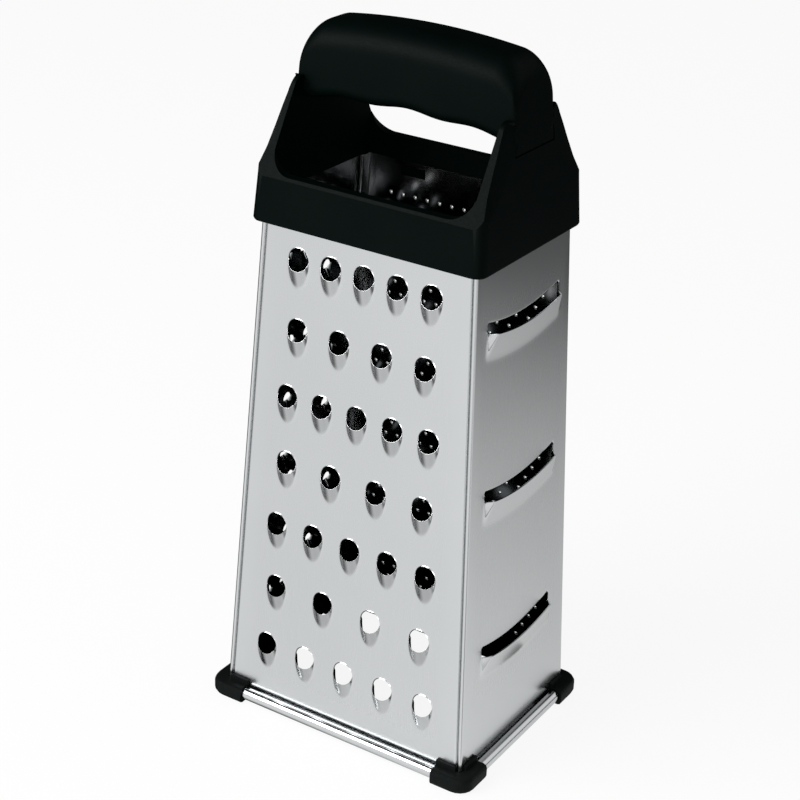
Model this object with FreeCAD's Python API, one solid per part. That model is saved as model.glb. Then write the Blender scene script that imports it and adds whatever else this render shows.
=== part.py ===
import FreeCAD, Part
import math
import os

# Box grater in millimetres. The floor is z = 0, the coarse face looks to -Y and the slicing face to +X.
# Four steel faces are joined by lock seams, each with a rolled hem at its foot. A moulded collar holds
# them at the top, a grip plugs into the collar's end plates, and a foot is pressed over each corner.

Vec = FreeCAD.Vector
X_AXIS = Vec(1, 0, 0)
Y_AXIS = Vec(0, 1, 0)
Z_AXIS = Vec(0, 0, 1)
ORIGIN = Vec(0, 0, 0)

# Body: outer faces of the sheet, at the crease over the hem and at the collar's lower edge.
base_width = 96.2
base_depth = 70.0
collar_line_width = 79.1
collar_line_depth = 58.7
flank_height = 172.5
panel_tuck = 8.0
sheet = 0.5
overrun = 1.0

# Rolled hem along the foot of each face.
hem_diameter = 4.5
hem_inset = 5.0
hem_gap = 0.9
hem_steps = 20

# Lock seam at each corner: a bead on the narrow face, and a hook on the wide face that grips it.
seam_clearance = 0.08
seam_bend_radius = 0.4
seam_lap = 3.4
seam_fold_steps = 4

# Coarse teeth: rows that alternate between two counts, set in from the corners by a margin.
coarse_hole_radius = 3.5
coarse_sides = 14
coarse_rows = 7
coarse_long_count = 5
coarse_short_count = 4
coarse_long_margin = 15.4
coarse_short_margin = 17.2
coarse_first_height = 20.5
coarse_row_pitch = 23.7

# Medium teeth on the left face: the same form, smaller and closer.
medium_hole_radius = 2.0
medium_sides = 6
medium_margin = 10.0
medium_pitch = 11.0
medium_first_height = 16.0
medium_last_margin = 9.0
medium_row_pitch = 12.6

# Fine teeth on the back face: holes pierced from inside, each with a pointed burr.
fine_points = 3
fine_base_radius = 1.6
fine_mouth_radius = 0.95
fine_hole_radius = 0.85
fine_lift = 1.0
fine_margin = 10.0
fine_pitch = 8.0
fine_first_height = 13.0
fine_last_margin = 2.5
fine_row_pitch = 9.8

# Tooth angles in degrees: the slope of the hood's back, and of the mouth that it opens with.
hood_angle = 24.0
mouth_angle = 35.0

# Slicing slots: smile-shaped blades with closed ends.
slot_count = 3
slot_half_length = 21.4
slot_arc_radius = 94.0
slot_opening = 3.0
slot_lift = 2.6
slot_hood_run = 8.6
slot_end_run = 1.3
slot_corner = 1.2
slot_first_height = 39.0
slot_pitch = 56.9

# Collar of the handle frame.
collar_stand = 2.9
collar_lean = 1.0
collar_corner = 3.6
collar_corner_steps = 5
collar_edge_round = 0.9
collar_rise = 16.2
collar_clearance = 0.3
collar_ledge = 1.4

# End plates, shoulders and window.
plate_thickness = 5.0
plate_rise = 27.3
plate_lean = 2.1
plate_half_depth = 15.6
plate_foot_drop = 1.0
shoulder_round = 4.0
window_round = 8.0

# Bevels of the end plates: each falls from a waisted ridge on the outer face to the front or back edge.
# The shares give a height up the plate, the ridge's reach out from its neck, and the bevel's depth.
plate_bevel = 1.4
plate_neck_half = 9.9
plate_ridge_inset = 2.6
plate_ridge_shares = (
    (0.02, 0.97, 0.1),
    (0.11, 0.79, 0.5),
    (0.27, 0.53, 0.9),
    (0.48, 0.28, 1.0),
    (0.75, 0.0, 1.0),
    (0.87, 0.04, 1.0),
    (1.03, 0.19, 1.0),
)
bevel_past_share = 0.2

# Snap lugs inside the collar, and the slots that they click into.
lug_count = 2
lug_spacing = 40.0
lug_length = 9.0
lug_height = 2.6
lug_drop = 2.4
lug_clearance = 0.25

# Grip: a bar with a leg at each end that plugs into the end plate.
grip_height = 25.2
grip_half_depth = 12.0
grip_crown = 3.0
grip_end_round = 8.0
grip_plan_round = 1.6
grip_top_round = 9.2
grip_base_round = 4.2
grip_round_steps = 4
grip_seat_drop = 5.7
finger_count = 3
finger_pitch = 24.0
finger_depth = 1.0
leg_thickness = 1.8
leg_drop = 11.0
leg_clearance = 0.15

# Corner feet.
foot_sole = 0.8
foot_reach = 9.0
foot_wall = 0.9
foot_corner = 5.5
foot_corner_steps = 5
foot_crown = 0.5
foot_edge_round = 1.4
foot_clearance = 0.12
foot_socket_sides = 12
wing_rise = 2.3
wing_thickness = 0.9
wing_setback = 1.6

# Levels and sizes that follow from the values above.
hem_radius = hem_diameter / 2
sheet_foot = foot_sole + hem_radius
crease_z = foot_sole + hem_diameter
collar_z = crease_z + flank_height
panel_top = collar_z + panel_tuck
sill_z = collar_z + collar_rise
shoulder_z = sill_z + plate_rise
nose_radius = (3 * sheet + 2 * seam_clearance) / 2
hook_near = 3 * sheet + 3 * seam_clearance
hook_far = hook_near + sheet
hook_tip_near = sheet + seam_clearance
collar_reach_x = collar_line_width / 2 + collar_stand
collar_reach_y = collar_line_depth / 2 + collar_stand
sill_reach_x = collar_reach_x - collar_lean
sill_reach_y = collar_reach_y - collar_lean
plate_inner = sill_reach_x - plate_thickness


def half_width(z):
    """Half the body's width at a height, out to the steel's outer face."""
    return base_width / 2 + (collar_line_width - base_width) / 2 * (z - crease_z) / flank_height


def half_depth(z):
    """Half the body's depth at a height, out to the steel's outer face."""
    return base_depth / 2 + (collar_line_depth - base_depth) / 2 * (z - crease_z) / flank_height


def polygon(points):
    return Part.makePolygon(list(points) + [points[0]])


def prism(points, path):
    """A solid with straight sides: the closed outline through the points, swept along the path."""
    return Part.Face(polygon(points)).extrude(path)


def round_points(centre_x, centre_y, radius, start, end, steps):
    """Points along an arc in a plane, both ends included, with angles in degrees."""
    angles = [math.radians(start + (end - start) * number / steps) for number in range(steps + 1)]
    return [(centre_x + radius * math.cos(angle), centre_y + radius * math.sin(angle)) for angle in angles]


def stacked(outlines, split=False):
    """A solid through a stack of outlines that have the same count of points. Its sides are flat, or split
    into triangles where they twist."""
    faces = [Part.Face(polygon(outlines[0])), Part.Face(polygon(outlines[-1]))]
    for below, above in zip(outlines, outlines[1:]):
        for number in range(len(below)):
            after = (number + 1) % len(below)
            side = [below[number], below[after], above[after], above[number]]
            parts = [side[:3], side[2:] + side[:1]] if split else [side]
            faces += [Part.Face(polygon(part)) for part in parts]
    return closed_solid(faces)


def closed_solid(faces):
    """The solid that a closed set of faces bounds."""
    skin = Part.makeCompound(faces)
    skin.sewShape()
    solid = Part.makeSolid(skin.Shells[0])
    if solid.Volume < 0:
        solid.reverse()
    return solid


def block(low, high):
    """A box between two opposite corners."""
    return Part.makeBox(high.x - low.x, high.y - low.y, high.z - low.z, low)


def edges_along(solid, axis, low, high):
    """The edges of a solid that run along an axis and lie between two heights."""
    found = []
    for edge in solid.Edges:
        ends = [vertex.Point for vertex in edge.Vertexes]
        along = (ends[-1] - ends[0]).cross(axis).Length < seam_clearance
        if along and low < edge.BoundBox.ZMin and edge.BoundBox.ZMax < high:
            found.append(edge)
    return found


def mirrored(shape, normal):
    return shape.mirror(ORIGIN, normal)


def turned(shape, degrees):
    """A copy turned about the upright axis through the origin."""
    copy = shape.copy()
    copy.rotate(ORIGIN, Z_AXIS, degrees)
    return copy


# Each face is made looking to -Y and then turned to its side of the body. Across is half its breadth
# at a height and away is how far its outer surface stands from the middle.


def lean(away):
    """The face's slope off the vertical, in degrees."""
    return math.degrees(math.atan((away(sheet_foot) - away(panel_top)) / (panel_top - sheet_foot)))


def corner_drift(across, away):
    """The way a seam climbs along the right-hand corner of a face."""
    inwards = across(panel_top) - across(sheet_foot)
    return Vec(inwards, away(sheet_foot) - away(panel_top), panel_top - sheet_foot)


def hook_section(across, away):
    """The wide face's edge: bent inwards, then hooked round the bead's leg."""
    bend_outer = seam_bend_radius + sheet
    hook_outer = (hook_far - hook_tip_near) / 2
    hook_middle = hook_tip_near + hook_outer
    hook_start = nose_radius + seam_lap + seam_clearance
    tip_end = nose_radius + seam_clearance
    flat_edge = hook_near + bend_outer
    points = round_points(flat_edge, bend_outer, bend_outer, -90, -180, seam_fold_steps)
    points += round_points(hook_middle, hook_start, hook_outer - sheet, 0, 180, seam_fold_steps)
    points += [(hook_tip_near + sheet, tip_end), (hook_tip_near, tip_end)]
    points += round_points(hook_middle, hook_start, hook_outer, 180, 0, seam_fold_steps)
    points += round_points(flat_edge, bend_outer, seam_bend_radius, -180, -90, seam_fold_steps)
    corner = [
        Vec(across(sheet_foot) - inwards, deep - away(sheet_foot), sheet_foot) for inwards, deep in points
    ]
    return Part.Face(polygon(corner)), flat_edge


def bead_section(across, away):
    """The narrow face's edge: folded back on itself into a round bead."""
    leg_end = nose_radius + seam_lap
    leg_far = 2 * nose_radius
    points = round_points(nose_radius, nose_radius, nose_radius, 180, 360, seam_fold_steps)
    points += [(leg_far, leg_end), (leg_far - sheet, leg_end)]
    points += round_points(nose_radius, nose_radius, nose_radius - sheet, 360, 180, seam_fold_steps)
    corner = [
        Vec(across(sheet_foot) - inwards, deep - away(sheet_foot), sheet_foot) for deep, inwards in points
    ]
    return Part.Face(polygon(corner)), nose_radius


def flat_sheet(across, away, edge):
    """The flat of a face between its two seams."""

    def outline(z):
        reach = across(z) - edge
        front = -away(z)
        back = front + sheet
        corners = [(-reach, front), (reach, front), (reach, back), (-reach, back)]
        return polygon([Vec(x, y, z) for x, y in corners])

    return Part.makeLoft([outline(sheet_foot), outline(panel_top)], True, True)


def rolled_hem(across, away):
    """The foot of a face, rolled outwards into an open tube."""
    inner = hem_radius - sheet
    centre = sheet - away(sheet_foot) - hem_radius
    reach = across(sheet_foot) - hem_inset
    free_turn = math.degrees(math.asin((inner - hem_gap) / hem_radius))
    turn = -270 - free_turn
    points = round_points(centre, sheet_foot, hem_radius, 0, turn, hem_steps)
    points += round_points(centre, sheet_foot, inner, turn, 0, hem_steps)
    return prism([Vec(-reach, y, z) for y, z in points], Vec(2 * reach, 0, 0))


def blank_face(across, away, section):
    """A face of the body before its teeth are punched: flat, two seam edges and a hem."""
    profile, edge = section(across, away)
    seam = profile.extrude(corner_drift(across, away))
    flat = flat_sheet(across, away, edge)
    return flat.fuse([seam, mirrored(seam, X_AXIS), rolled_hem(across, away)])


# A cell is one punched form in a patch of sheet that lies in the XY plane with its outer face at z = 0
# and +Y up the face. Its walls are copied to each place, and the two flats get the matching holes.


def patch(size, thickness):
    return block(Vec(-size, -size, -thickness), Vec(size, size, 0))


def cell_walls(solid, size):
    """The walls of a punched form, and the wires that it cuts in the outer and inner flats."""
    walls = []
    outer_wires = []
    inner_wires = []
    for face in solid.Faces:
        box = face.BoundBox
        flat = box.ZLength < seam_clearance
        rim = box.XLength < seam_clearance or box.YLength < seam_clearance
        if flat and box.XLength > size:
            holes = [wire for wire in face.Wires if not wire.isSame(face.OuterWire)]
            if abs(box.ZMin) < seam_clearance:
                outer_wires += holes
            else:
                inner_wires += holes
        elif not (rim and max(box.XLength, box.YLength) > size):
            walls.append(face)
    return walls, outer_wires, inner_wires


def sided_tube(radius, sides, length):
    """A tube's solid along +Z, with a flat side to each hand."""
    half_step = math.pi / sides
    corner = radius / math.cos(half_step)
    angles = [half_step * (2 * number + 1) for number in range(sides)]
    points = [Vec(corner * math.cos(angle), corner * math.sin(angle), 0) for angle in angles]
    return prism(points, Vec(0, 0, length))


def tooth_cell(radius, sides, thickness):
    """A grating tooth: a hole whose lower edge is raised into a hood with its mouth facing up."""
    size = 4 * (radius + sheet)

    def tube(tube_radius):
        solid = sided_tube(tube_radius, sides, 4 * size)
        solid.translate(Vec(0, 0, -2 * size))
        solid.rotate(ORIGIN, X_AXIS, hood_angle - 90)
        return solid

    under_mouth = block(Vec(-size, -2 * size, -2 * size), Vec(size, 2 * size, 0))
    under_mouth.rotate(ORIGIN, X_AXIS, -mouth_angle)
    hood = tube(radius + sheet).common(under_mouth).common(block(Vec(-size, -size, 0), Vec(size, 0, size)))
    bore = tube(radius).common(block(Vec(-size, -size, -thickness), Vec(size, 0, size)))
    hole = sided_tube(radius, sides, thickness)
    hole.translate(Vec(0, 0, -thickness))
    hole = hole.common(block(Vec(-size, 0, -thickness), Vec(size, size, 0)))
    solid = patch(size, thickness).fuse(hood).cut(bore).cut(hole)
    return cell_walls(solid, size)


def burr_cell(thickness):
    """A fine tooth: a pierced hole with a pointed burr round it."""

    def ring(radius, z):
        angles = [2 * math.pi * number / fine_points + math.pi / 2 for number in range(fine_points)]
        return [Vec(radius * math.cos(angle), radius * math.sin(angle), z) for angle in angles]

    base = ring(fine_base_radius, 0)
    mouth = ring(fine_mouth_radius, fine_lift)
    hole = ring(fine_hole_radius, -thickness)
    walls = []
    for number in range(fine_points):
        after = (number + 1) % fine_points
        walls.append(Part.Face(polygon([base[number], base[after], mouth[after], mouth[number]])))
        walls.append(Part.Face(polygon([mouth[number], mouth[after], hole[after], hole[number]])))
    return walls, [polygon(base)], [polygon(hole)]


def lug_slot_cell(thickness):
    """A slot near the top of a wide face, where a lug of the collar clicks in."""
    half_length = lug_length / 2 + lug_clearance
    half_height = lug_height / 2 + lug_clearance

    def ring(z):
        corners = [(-1, -1), (1, -1), (1, 1), (-1, 1)]
        return [Vec(half_length * right, half_height * up, z) for right, up in corners]

    outside = ring(0)
    inside = ring(-thickness)
    walls = []
    for number in range(len(outside)):
        after = (number + 1) % len(outside)
        walls.append(Part.Face(polygon([outside[number], outside[after], inside[after], inside[number]])))
    return walls, [polygon(outside)], [polygon(inside)]


def slicer_cell(thickness):
    """A slicing slot: an arched gap over a raised blade whose ends are closed."""
    size = 2 * slot_half_length
    blade = slot_arc_radius + slot_opening
    foot = blade + slot_hood_run
    slope = math.atan(slot_lift / slot_hood_run)
    foot_inner = foot - sheet / math.sin(slope)
    start = blade - overrun
    half_turn = math.degrees(math.asin((slot_half_length + sheet + overrun) / slot_arc_radius))
    centre = Vec(0, slot_arc_radius, 0)

    def ring(profile):
        points = [Vec(0, slot_arc_radius - radius, z) for radius, z in profile]
        face = Part.Face(polygon(points))
        face.rotate(centre, Z_AXIS, -half_turn)
        return face.revolve(centre, Z_AXIS, 2 * half_turn)

    def between_ends(reach):
        top = reach - slot_end_run
        corners = [(-reach, 0), (reach, 0), (top, slot_lift), (-top, slot_lift)]
        return prism([Vec(x, -size, z) for x, z in corners], Vec(0, 2 * size, 0))

    rise_inner = (foot_inner - start) * math.tan(slope)
    outer = ring([(blade, 0), (blade, slot_lift), (foot, 0)])
    outer = outer.common(between_ends(slot_half_length + sheet))
    inner = ring([(start, 0), (start, rise_inner), (foot_inner, 0)]).common(between_ends(slot_half_length))
    hood = outer.cut(inner)
    upper = slot_arc_radius
    opening = ring([(upper, 0), (foot_inner, 0), (foot_inner, -thickness), (upper, -thickness)])
    opening = opening.common(block(Vec(-slot_half_length, -size, -thickness), Vec(slot_half_length, size, 0)))
    upright = [edge for edge in opening.Edges if edge.BoundBox.ZLength > thickness / 2]
    opening = opening.makeFillet(slot_corner, upright)
    solid = patch(size, thickness).fuse(hood).cut(opening)
    return cell_walls(solid, size)


def punch(blank, away, punches):
    """The blank with its punched forms: each is a cell, a place across the face and a height."""
    wide = sorted(blank.Faces, key=lambda face: face.Area)[-2:]
    outer, inner = sorted(wide, key=lambda face: face.CenterOfMass.y)
    faces = [face for face in blank.Faces if not face.isSame(outer) and not face.isSame(inner)]
    outer_wires = [outer.OuterWire]
    inner_wires = [inner.OuterWire]
    tilt = FreeCAD.Rotation(X_AXIS, 90 - lean(away))
    for (walls, outer_holes, inner_holes), across_place, height in punches:
        place = FreeCAD.Placement(Vec(across_place, -away(height), height), tilt)
        for source, target in ((walls, faces), (outer_holes, outer_wires), (inner_holes, inner_wires)):
            for shape in source:
                copy = shape.copy()
                copy.Placement = place.multiply(copy.Placement)
                target.append(copy)
    faces.append(Part.makeFace(outer_wires, "Part::FaceMakerBullseye"))
    faces.append(Part.makeFace(inner_wires, "Part::FaceMakerBullseye"))
    return closed_solid(faces)


def coarse_places():
    """Places of the coarse teeth, row by row from the foot of the face."""
    places = []
    for row in range(coarse_rows):
        height = crease_z + coarse_first_height + row * coarse_row_pitch
        long_row = row % 2 == 0
        count = coarse_long_count if long_row else coarse_short_count
        margin = coarse_long_margin if long_row else coarse_short_margin
        reach = half_width(height) - margin
        for number in range(count):
            places.append((reach * (2 * number / (count - 1) - 1), height))
    return places


def staggered_places(across, margin, pitch, first_height, last_margin, row_pitch):
    """Rows that fill a face between its margins, every other row shifted by half a pitch."""
    places = []
    rows = int((flank_height - first_height - last_margin) / row_pitch) + 1
    for row in range(rows):
        height = crease_z + first_height + row * row_pitch
        steps = int(2 * (across(height) - margin) / pitch)
        steps -= (steps + row) % 2
        for number in range(steps + 1):
            places.append(((number - steps / 2) * pitch, height))
    return places


def lug_places():
    """Where the collar's lugs meet a wide face."""
    height = panel_top - lug_drop - lug_height / 2
    return [((number - (lug_count - 1) / 2) * lug_spacing, height) for number in range(lug_count)]


def normal_thickness(away):
    """The sheet's thickness square to a face, which is measured level everywhere else."""
    return sheet * math.cos(math.radians(lean(away)))


def wide_face(tooth, places):
    """A wide face with one kind of tooth and the slots for the collar's lugs."""
    slot = lug_slot_cell(normal_thickness(half_depth))
    punches = [(tooth, across_place, height) for across_place, height in places]
    punches += [(slot, across_place, height) for across_place, height in lug_places()]
    return punch(blank_face(half_width, half_depth, hook_section), half_depth, punches)


def narrow_face(tooth, places):
    punches = [(tooth, across_place, height) for across_place, height in places]
    return punch(blank_face(half_depth, half_width, bead_section), half_width, punches)


def front_panel():
    tooth = tooth_cell(coarse_hole_radius, coarse_sides, normal_thickness(half_depth))
    return wide_face(tooth, coarse_places())


def back_panel():
    places = staggered_places(
        half_width, fine_margin, fine_pitch, fine_first_height, fine_last_margin, fine_row_pitch
    )
    return turned(wide_face(burr_cell(normal_thickness(half_depth)), places), 180)


def right_panel():
    slicer = slicer_cell(normal_thickness(half_width))
    places = [(0, crease_z + slot_first_height + number * slot_pitch) for number in range(slot_count)]
    return turned(narrow_face(slicer, places), 90)


def left_panel():
    tooth = tooth_cell(medium_hole_radius, medium_sides, normal_thickness(half_width))
    places = staggered_places(
        half_depth, medium_margin, medium_pitch, medium_first_height, medium_last_margin, medium_row_pitch
    )
    return turned(narrow_face(tooth, places), -90)


# Handle frame: a collar over the top of the steel, with an end plate at each side that carries the grip.


def round_rectangle(reach_x, reach_y, radius, steps, z):
    """A level rectangle with round corners, as points in order round it."""
    quarter = round_points(-radius, -radius, radius, 90, 0, steps)
    points = []
    for right, back in ((1, -1), (-1, -1), (-1, 1), (1, 1)):
        part = [Vec(right * (reach_x + x), back * (reach_y + y), z) for x, y in quarter]
        points += part if right * back > 0 else part[::-1]
    return points


def plate_outer(z):
    """How far an end plate's outer face stands from the middle at a height."""
    return sill_reach_x - plate_lean * (z - sill_z) / plate_rise


def end_plate_outline():
    """The frame seen from its end: the collar's full depth, drawn in to the shoulders."""
    side = sill_reach_y + collar_lean + overrun
    waist_z = sill_z - plate_foot_drop
    points = [
        (-side, collar_z - overrun),
        (side, collar_z - overrun),
        (side, waist_z),
        (sill_reach_y, waist_z),
        (plate_half_depth, shoulder_z),
        (-plate_half_depth, shoulder_z),
        (-sill_reach_y, waist_z),
        (-side, waist_z),
    ]
    span = collar_reach_x + overrun
    solid = prism([Vec(-span, y, z) for y, z in points], Vec(2 * span, 0, 0))
    shoulders = edges_along(solid, X_AXIS, shoulder_z - overrun, shoulder_z + overrun)
    return solid.makeFillet(shoulder_round, shoulders)


def frame_envelope():
    """The frame's outer skin from the collar's lower edge up to the shoulders."""
    soft = collar_edge_round
    rim = soft * (1 - math.sqrt(0.5))
    levels = [
        (collar_reach_x - soft, collar_reach_y - soft, collar_z),
        (collar_reach_x - rim, collar_reach_y - rim, collar_z + rim),
        (collar_reach_x, collar_reach_y, collar_z + soft),
        (sill_reach_x, sill_reach_y, sill_z),
        (plate_outer(shoulder_z), sill_reach_y, shoulder_z),
    ]
    corner = (collar_corner, collar_corner_steps)
    return stacked([round_rectangle(reach_x, reach_y, *corner, z) for reach_x, reach_y, z in levels])


def steel_outline(clearance, z):
    """The outside of the four faces at a height, with a clearance round it and the beads' round corners."""
    reach_x = half_width(z) + clearance
    reach_y = half_depth(z) + clearance
    return round_rectangle(reach_x, reach_y, nose_radius + clearance, seam_fold_steps, z)


def plate_edge(z):
    """How far an end plate's front and back edges stand from the middle at a height."""
    share = (shoulder_z - z) / (plate_rise + plate_foot_drop)
    return plate_half_depth + (sill_reach_y - plate_half_depth) * share


def plate_bevels():
    """The four solids that bevel the outer faces of the end plates."""
    levels = []
    ridge_foot = sill_reach_y - plate_ridge_inset
    for height_share, reach_share, depth_share in plate_ridge_shares:
        z = sill_z + plate_rise * height_share
        ridge_y = plate_neck_half + (ridge_foot - plate_neck_half) * reach_share
        ridge = Vec(plate_outer(z), ridge_y, z)
        edge = Vec(plate_outer(z) - plate_bevel * depth_share, plate_edge(z), z)
        past = (edge - ridge) * bevel_past_share
        inner = ridge - past
        outer = edge + past
        levels.append([inner, outer, Vec(inner.x, outer.y, z)])
    bevel = stacked(levels, split=True)
    pair = [bevel, mirrored(bevel, X_AXIS)]
    return pair + [mirrored(side, Y_AXIS) for side in pair]


def handle_frame():
    body = frame_envelope().common(end_plate_outline())
    tall = shoulder_z + overrun
    past_y = collar_reach_y + overrun
    window = block(Vec(-plate_inner, -past_y, sill_z), Vec(plate_inner, past_y, tall))
    window = window.makeFillet(window_round, edges_along(window, Y_AXIS, sill_z - overrun, shoulder_z))
    pocket_top = panel_top + collar_clearance
    pocket = stacked([steel_outline(collar_clearance, z) for z in (collar_z - overrun, pocket_top)])
    ledge_x = half_width(panel_top) - sheet - collar_ledge
    ledge_y = half_depth(panel_top) - sheet - collar_ledge
    shaft = block(Vec(-ledge_x, -ledge_y, panel_top), Vec(ledge_x, ledge_y, sill_z))
    throat = block(Vec(-plate_inner, -ledge_y, panel_top), Vec(plate_inner, ledge_y, sill_z + window_round))
    seat_half = grip_half_depth + leg_clearance
    seat_z = shoulder_z - grip_seat_drop - leg_clearance
    seat = block(Vec(-collar_reach_x, -seat_half, seat_z), Vec(collar_reach_x, seat_half, tall))
    leg_foot = shoulder_z - leg_drop - leg_clearance
    slot_outline = leg_outline(leg_foot, tall, leg_thickness + leg_clearance, overrun, -seat_half)
    leg_slot = prism(slot_outline, Vec(0, 2 * seat_half, 0))
    cutters = [window, pocket, shaft, throat, seat, leg_slot, mirrored(leg_slot, X_AXIS)]
    body = body.cut(cutters + plate_bevels())
    return body.fuse(frame_lugs())


def frame_lugs():
    """Wedges on the pocket's walls that click into the slots of the wide faces."""
    lugs = []
    for across_place, height in lug_places():
        low = height - lug_height / 2
        high = height + lug_height / 2
        wall = half_depth(low) + collar_clearance + overrun / 2
        tip = half_depth(high) - sheet
        points = [
            Vec(across_place - lug_length / 2, -wall, low),
            Vec(across_place - lug_length / 2, -half_depth(low) - collar_clearance, low),
            Vec(across_place - lug_length / 2, -tip, high),
            Vec(across_place - lug_length / 2, -wall, high),
        ]
        lug = prism(points, Vec(lug_length, 0, 0))
        lugs += [lug, mirrored(lug, Y_AXIS)]
    return lugs


def leg_outline(low, high, thickness, proud, y):
    """A strip along an end plate's outer face, between two heights."""
    return [
        Vec(plate_outer(low) - thickness, y, low),
        Vec(plate_outer(low) + proud, y, low),
        Vec(plate_outer(high) + proud, y, high),
        Vec(plate_outer(high) - thickness, y, high),
    ]


def grip_section(base_z):
    """The bar's cross-section, flat below and well rounded above."""
    low = base_z + grip_base_round
    high = base_z + grip_height - grip_top_round
    side_low = grip_half_depth - grip_base_round
    side_high = grip_half_depth - grip_top_round
    points = round_points(side_low, low, grip_base_round, -90, 0, grip_round_steps)
    points += round_points(side_high, high, grip_top_round, 0, 90, grip_round_steps)
    points += round_points(-side_high, high, grip_top_round, 90, 180, grip_round_steps)
    points += round_points(-side_low, low, grip_base_round, 180, 270, grip_round_steps)
    return Part.Face(polygon([Vec(0, y, z) for y, z in points]))


def grip():
    """The bar, arched along its length with finger hollows under it, and its two legs."""
    half_length = plate_outer(shoulder_z)
    base_z = shoulder_z - grip_seat_drop
    top_z = base_z + grip_height
    past_y = grip_half_depth + overrun
    arch_radius = (half_length**2 + grip_crown**2) / (2 * grip_crown)
    base_radius = arch_radius - grip_height
    hub = Vec(0, 0, top_z - arch_radius)
    half_turn = math.degrees(math.asin((sill_reach_x + overrun) / base_radius))
    section = grip_section(base_z)
    section.rotate(hub, Y_AXIS, -half_turn)
    bar = section.revolve(hub, Y_AXIS, 2 * half_turn)
    low_z = base_z - 2 * grip_crown
    ends = prism(
        [
            Vec(-plate_outer(low_z), -past_y, low_z),
            Vec(plate_outer(low_z), -past_y, low_z),
            Vec(plate_outer(top_z), -past_y, top_z),
            Vec(-plate_outer(top_z), -past_y, top_z),
        ],
        Vec(0, 2 * past_y, 0),
    )
    bar = bar.common(ends.makeFillet(grip_end_round, edges_along(ends, Y_AXIS, base_z, top_z + overrun)))
    plan = (half_length, grip_half_depth, grip_plan_round, grip_round_steps)
    bar = bar.common(stacked([round_rectangle(*plan, z) for z in (low_z, top_z + overrun)]))
    finger_radius = (finger_pitch**2 / 4 + finger_depth**2) / (2 * finger_depth)
    for number in range(finger_count):
        x = (number - (finger_count - 1) / 2) * finger_pitch
        under_z = hub.z + math.sqrt(base_radius**2 - x**2)
        centre = Vec(x, -past_y, under_z + finger_depth - finger_radius)
        bar = bar.cut(Part.makeCylinder(finger_radius, 2 * past_y, centre, Y_AXIS))
    leg_foot = shoulder_z - leg_drop
    leg_top = base_z + grip_base_round
    leg_points = leg_outline(leg_foot, leg_top, leg_thickness, 0, -grip_half_depth)
    leg = prism(leg_points, Vec(0, 2 * grip_half_depth, 0))
    return bar.fuse([leg, mirrored(leg, X_AXIS)]).cut(plate_bevels())


# Feet: a boot over each corner that takes the ends of two hems and grips the steel with two wings.


def corner_foot():
    """The foot at the front right corner."""
    top = crease_z + foot_crown
    out = hem_diameter - sheet + foot_wall
    corner_x = half_width(sheet_foot)
    corner_y = -half_depth(sheet_foot)
    climb = corner_drift(half_width, half_depth)

    def at(inwards, deep, z):
        return Vec(half_width(z) - inwards, deep - half_depth(z), z)

    def leaning(points, low, high):
        """A prism that leans with the corner between two heights."""
        return prism([at(inwards, deep, low) for inwards, deep in points], climb * ((high - low) / climb.z))

    def boot_outline(inset, z):
        """The boot in plan, its two outer sides drawn in by an inset."""
        right = corner_x + out - inset
        front = corner_y - out + inset
        left = corner_x - foot_reach
        back = corner_y + foot_reach
        points = [(right, back), (left, back), (left, front)]
        corner_centre = (right - foot_corner, front + foot_corner)
        points += round_points(*corner_centre, foot_corner, -90, 0, foot_corner_steps)
        return [Vec(x, y, z) for x, y in points]

    soft = foot_edge_round
    rim = soft * (1 - math.sqrt(0.5))
    levels = [(soft, 0), (rim, rim), (0, soft), (0, top - soft), (rim, top - rim), (soft, top)]
    boot = stacked([boot_outline(inset, z) for inset, z in levels])
    gap = foot_clearance
    slot_foot = sheet_foot - gap
    high = top + wing_rise + overrun
    far = foot_reach + overrun
    inside = hook_far + gap
    side_slot = leaning([(-gap, -gap), (inside, -gap), (inside, far), (-gap, far)], slot_foot, high)
    inside = sheet + gap
    front_slot = leaning([(-gap, -gap), (far, -gap), (far, inside), (-gap, inside)], slot_foot, high)
    socket = sided_tube(hem_radius + gap, foot_socket_sides, foot_reach - hem_inset + gap + overrun)
    front_socket = socket.copy()
    front_socket.rotate(ORIGIN, Y_AXIS, -90)
    front_socket.translate(Vec(corner_x - hem_inset + gap, corner_y + sheet - hem_radius, sheet_foot))
    side_socket = socket.copy()
    side_socket.rotate(ORIGIN, X_AXIS, -90)
    side_socket.translate(Vec(corner_x - sheet + hem_radius, corner_y + hem_inset - gap, sheet_foot))
    boot = boot.cut([side_slot, front_slot, front_socket, side_socket])
    wing_low = top - foot_crown / 2
    wing_high = crease_z + wing_rise
    face = -gap
    proud = face - wing_thickness
    near = wing_setback
    reach = foot_reach
    front_wing = leaning([(near, proud), (reach, proud), (reach, face), (near, face)], wing_low, wing_high)
    side_wing = leaning([(proud, near), (face, near), (face, reach), (proud, reach)], wing_low, wing_high)
    return boot.fuse([front_wing, side_wing])


def main():
    os.makedirs("parts", exist_ok=True)
    foot = corner_foot()
    back_foot = mirrored(foot, Y_AXIS)
    pieces = {
        "front_panel": front_panel(),
        "back_panel": back_panel(),
        "left_panel": left_panel(),
        "right_panel": right_panel(),
        "handle_frame": handle_frame(),
        "grip": grip(),
        "foot_front_right": foot,
        "foot_front_left": mirrored(foot, X_AXIS),
        "foot_back_right": back_foot,
        "foot_back_left": mirrored(back_foot, X_AXIS),
    }
    for name, shape in pieces.items():
        if len(shape.Solids) != 1 or not shape.isValid():
            raise RuntimeError(name + " is not one sound solid")
        shape.Solids[0].exportStep("parts/" + name + ".step")


main()
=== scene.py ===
import math
from contextlib import contextmanager

import bmesh
import bpy
from bpy.props import FloatProperty, IntProperty, PointerProperty, StringProperty
from mathutils import Matrix, Vector


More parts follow.
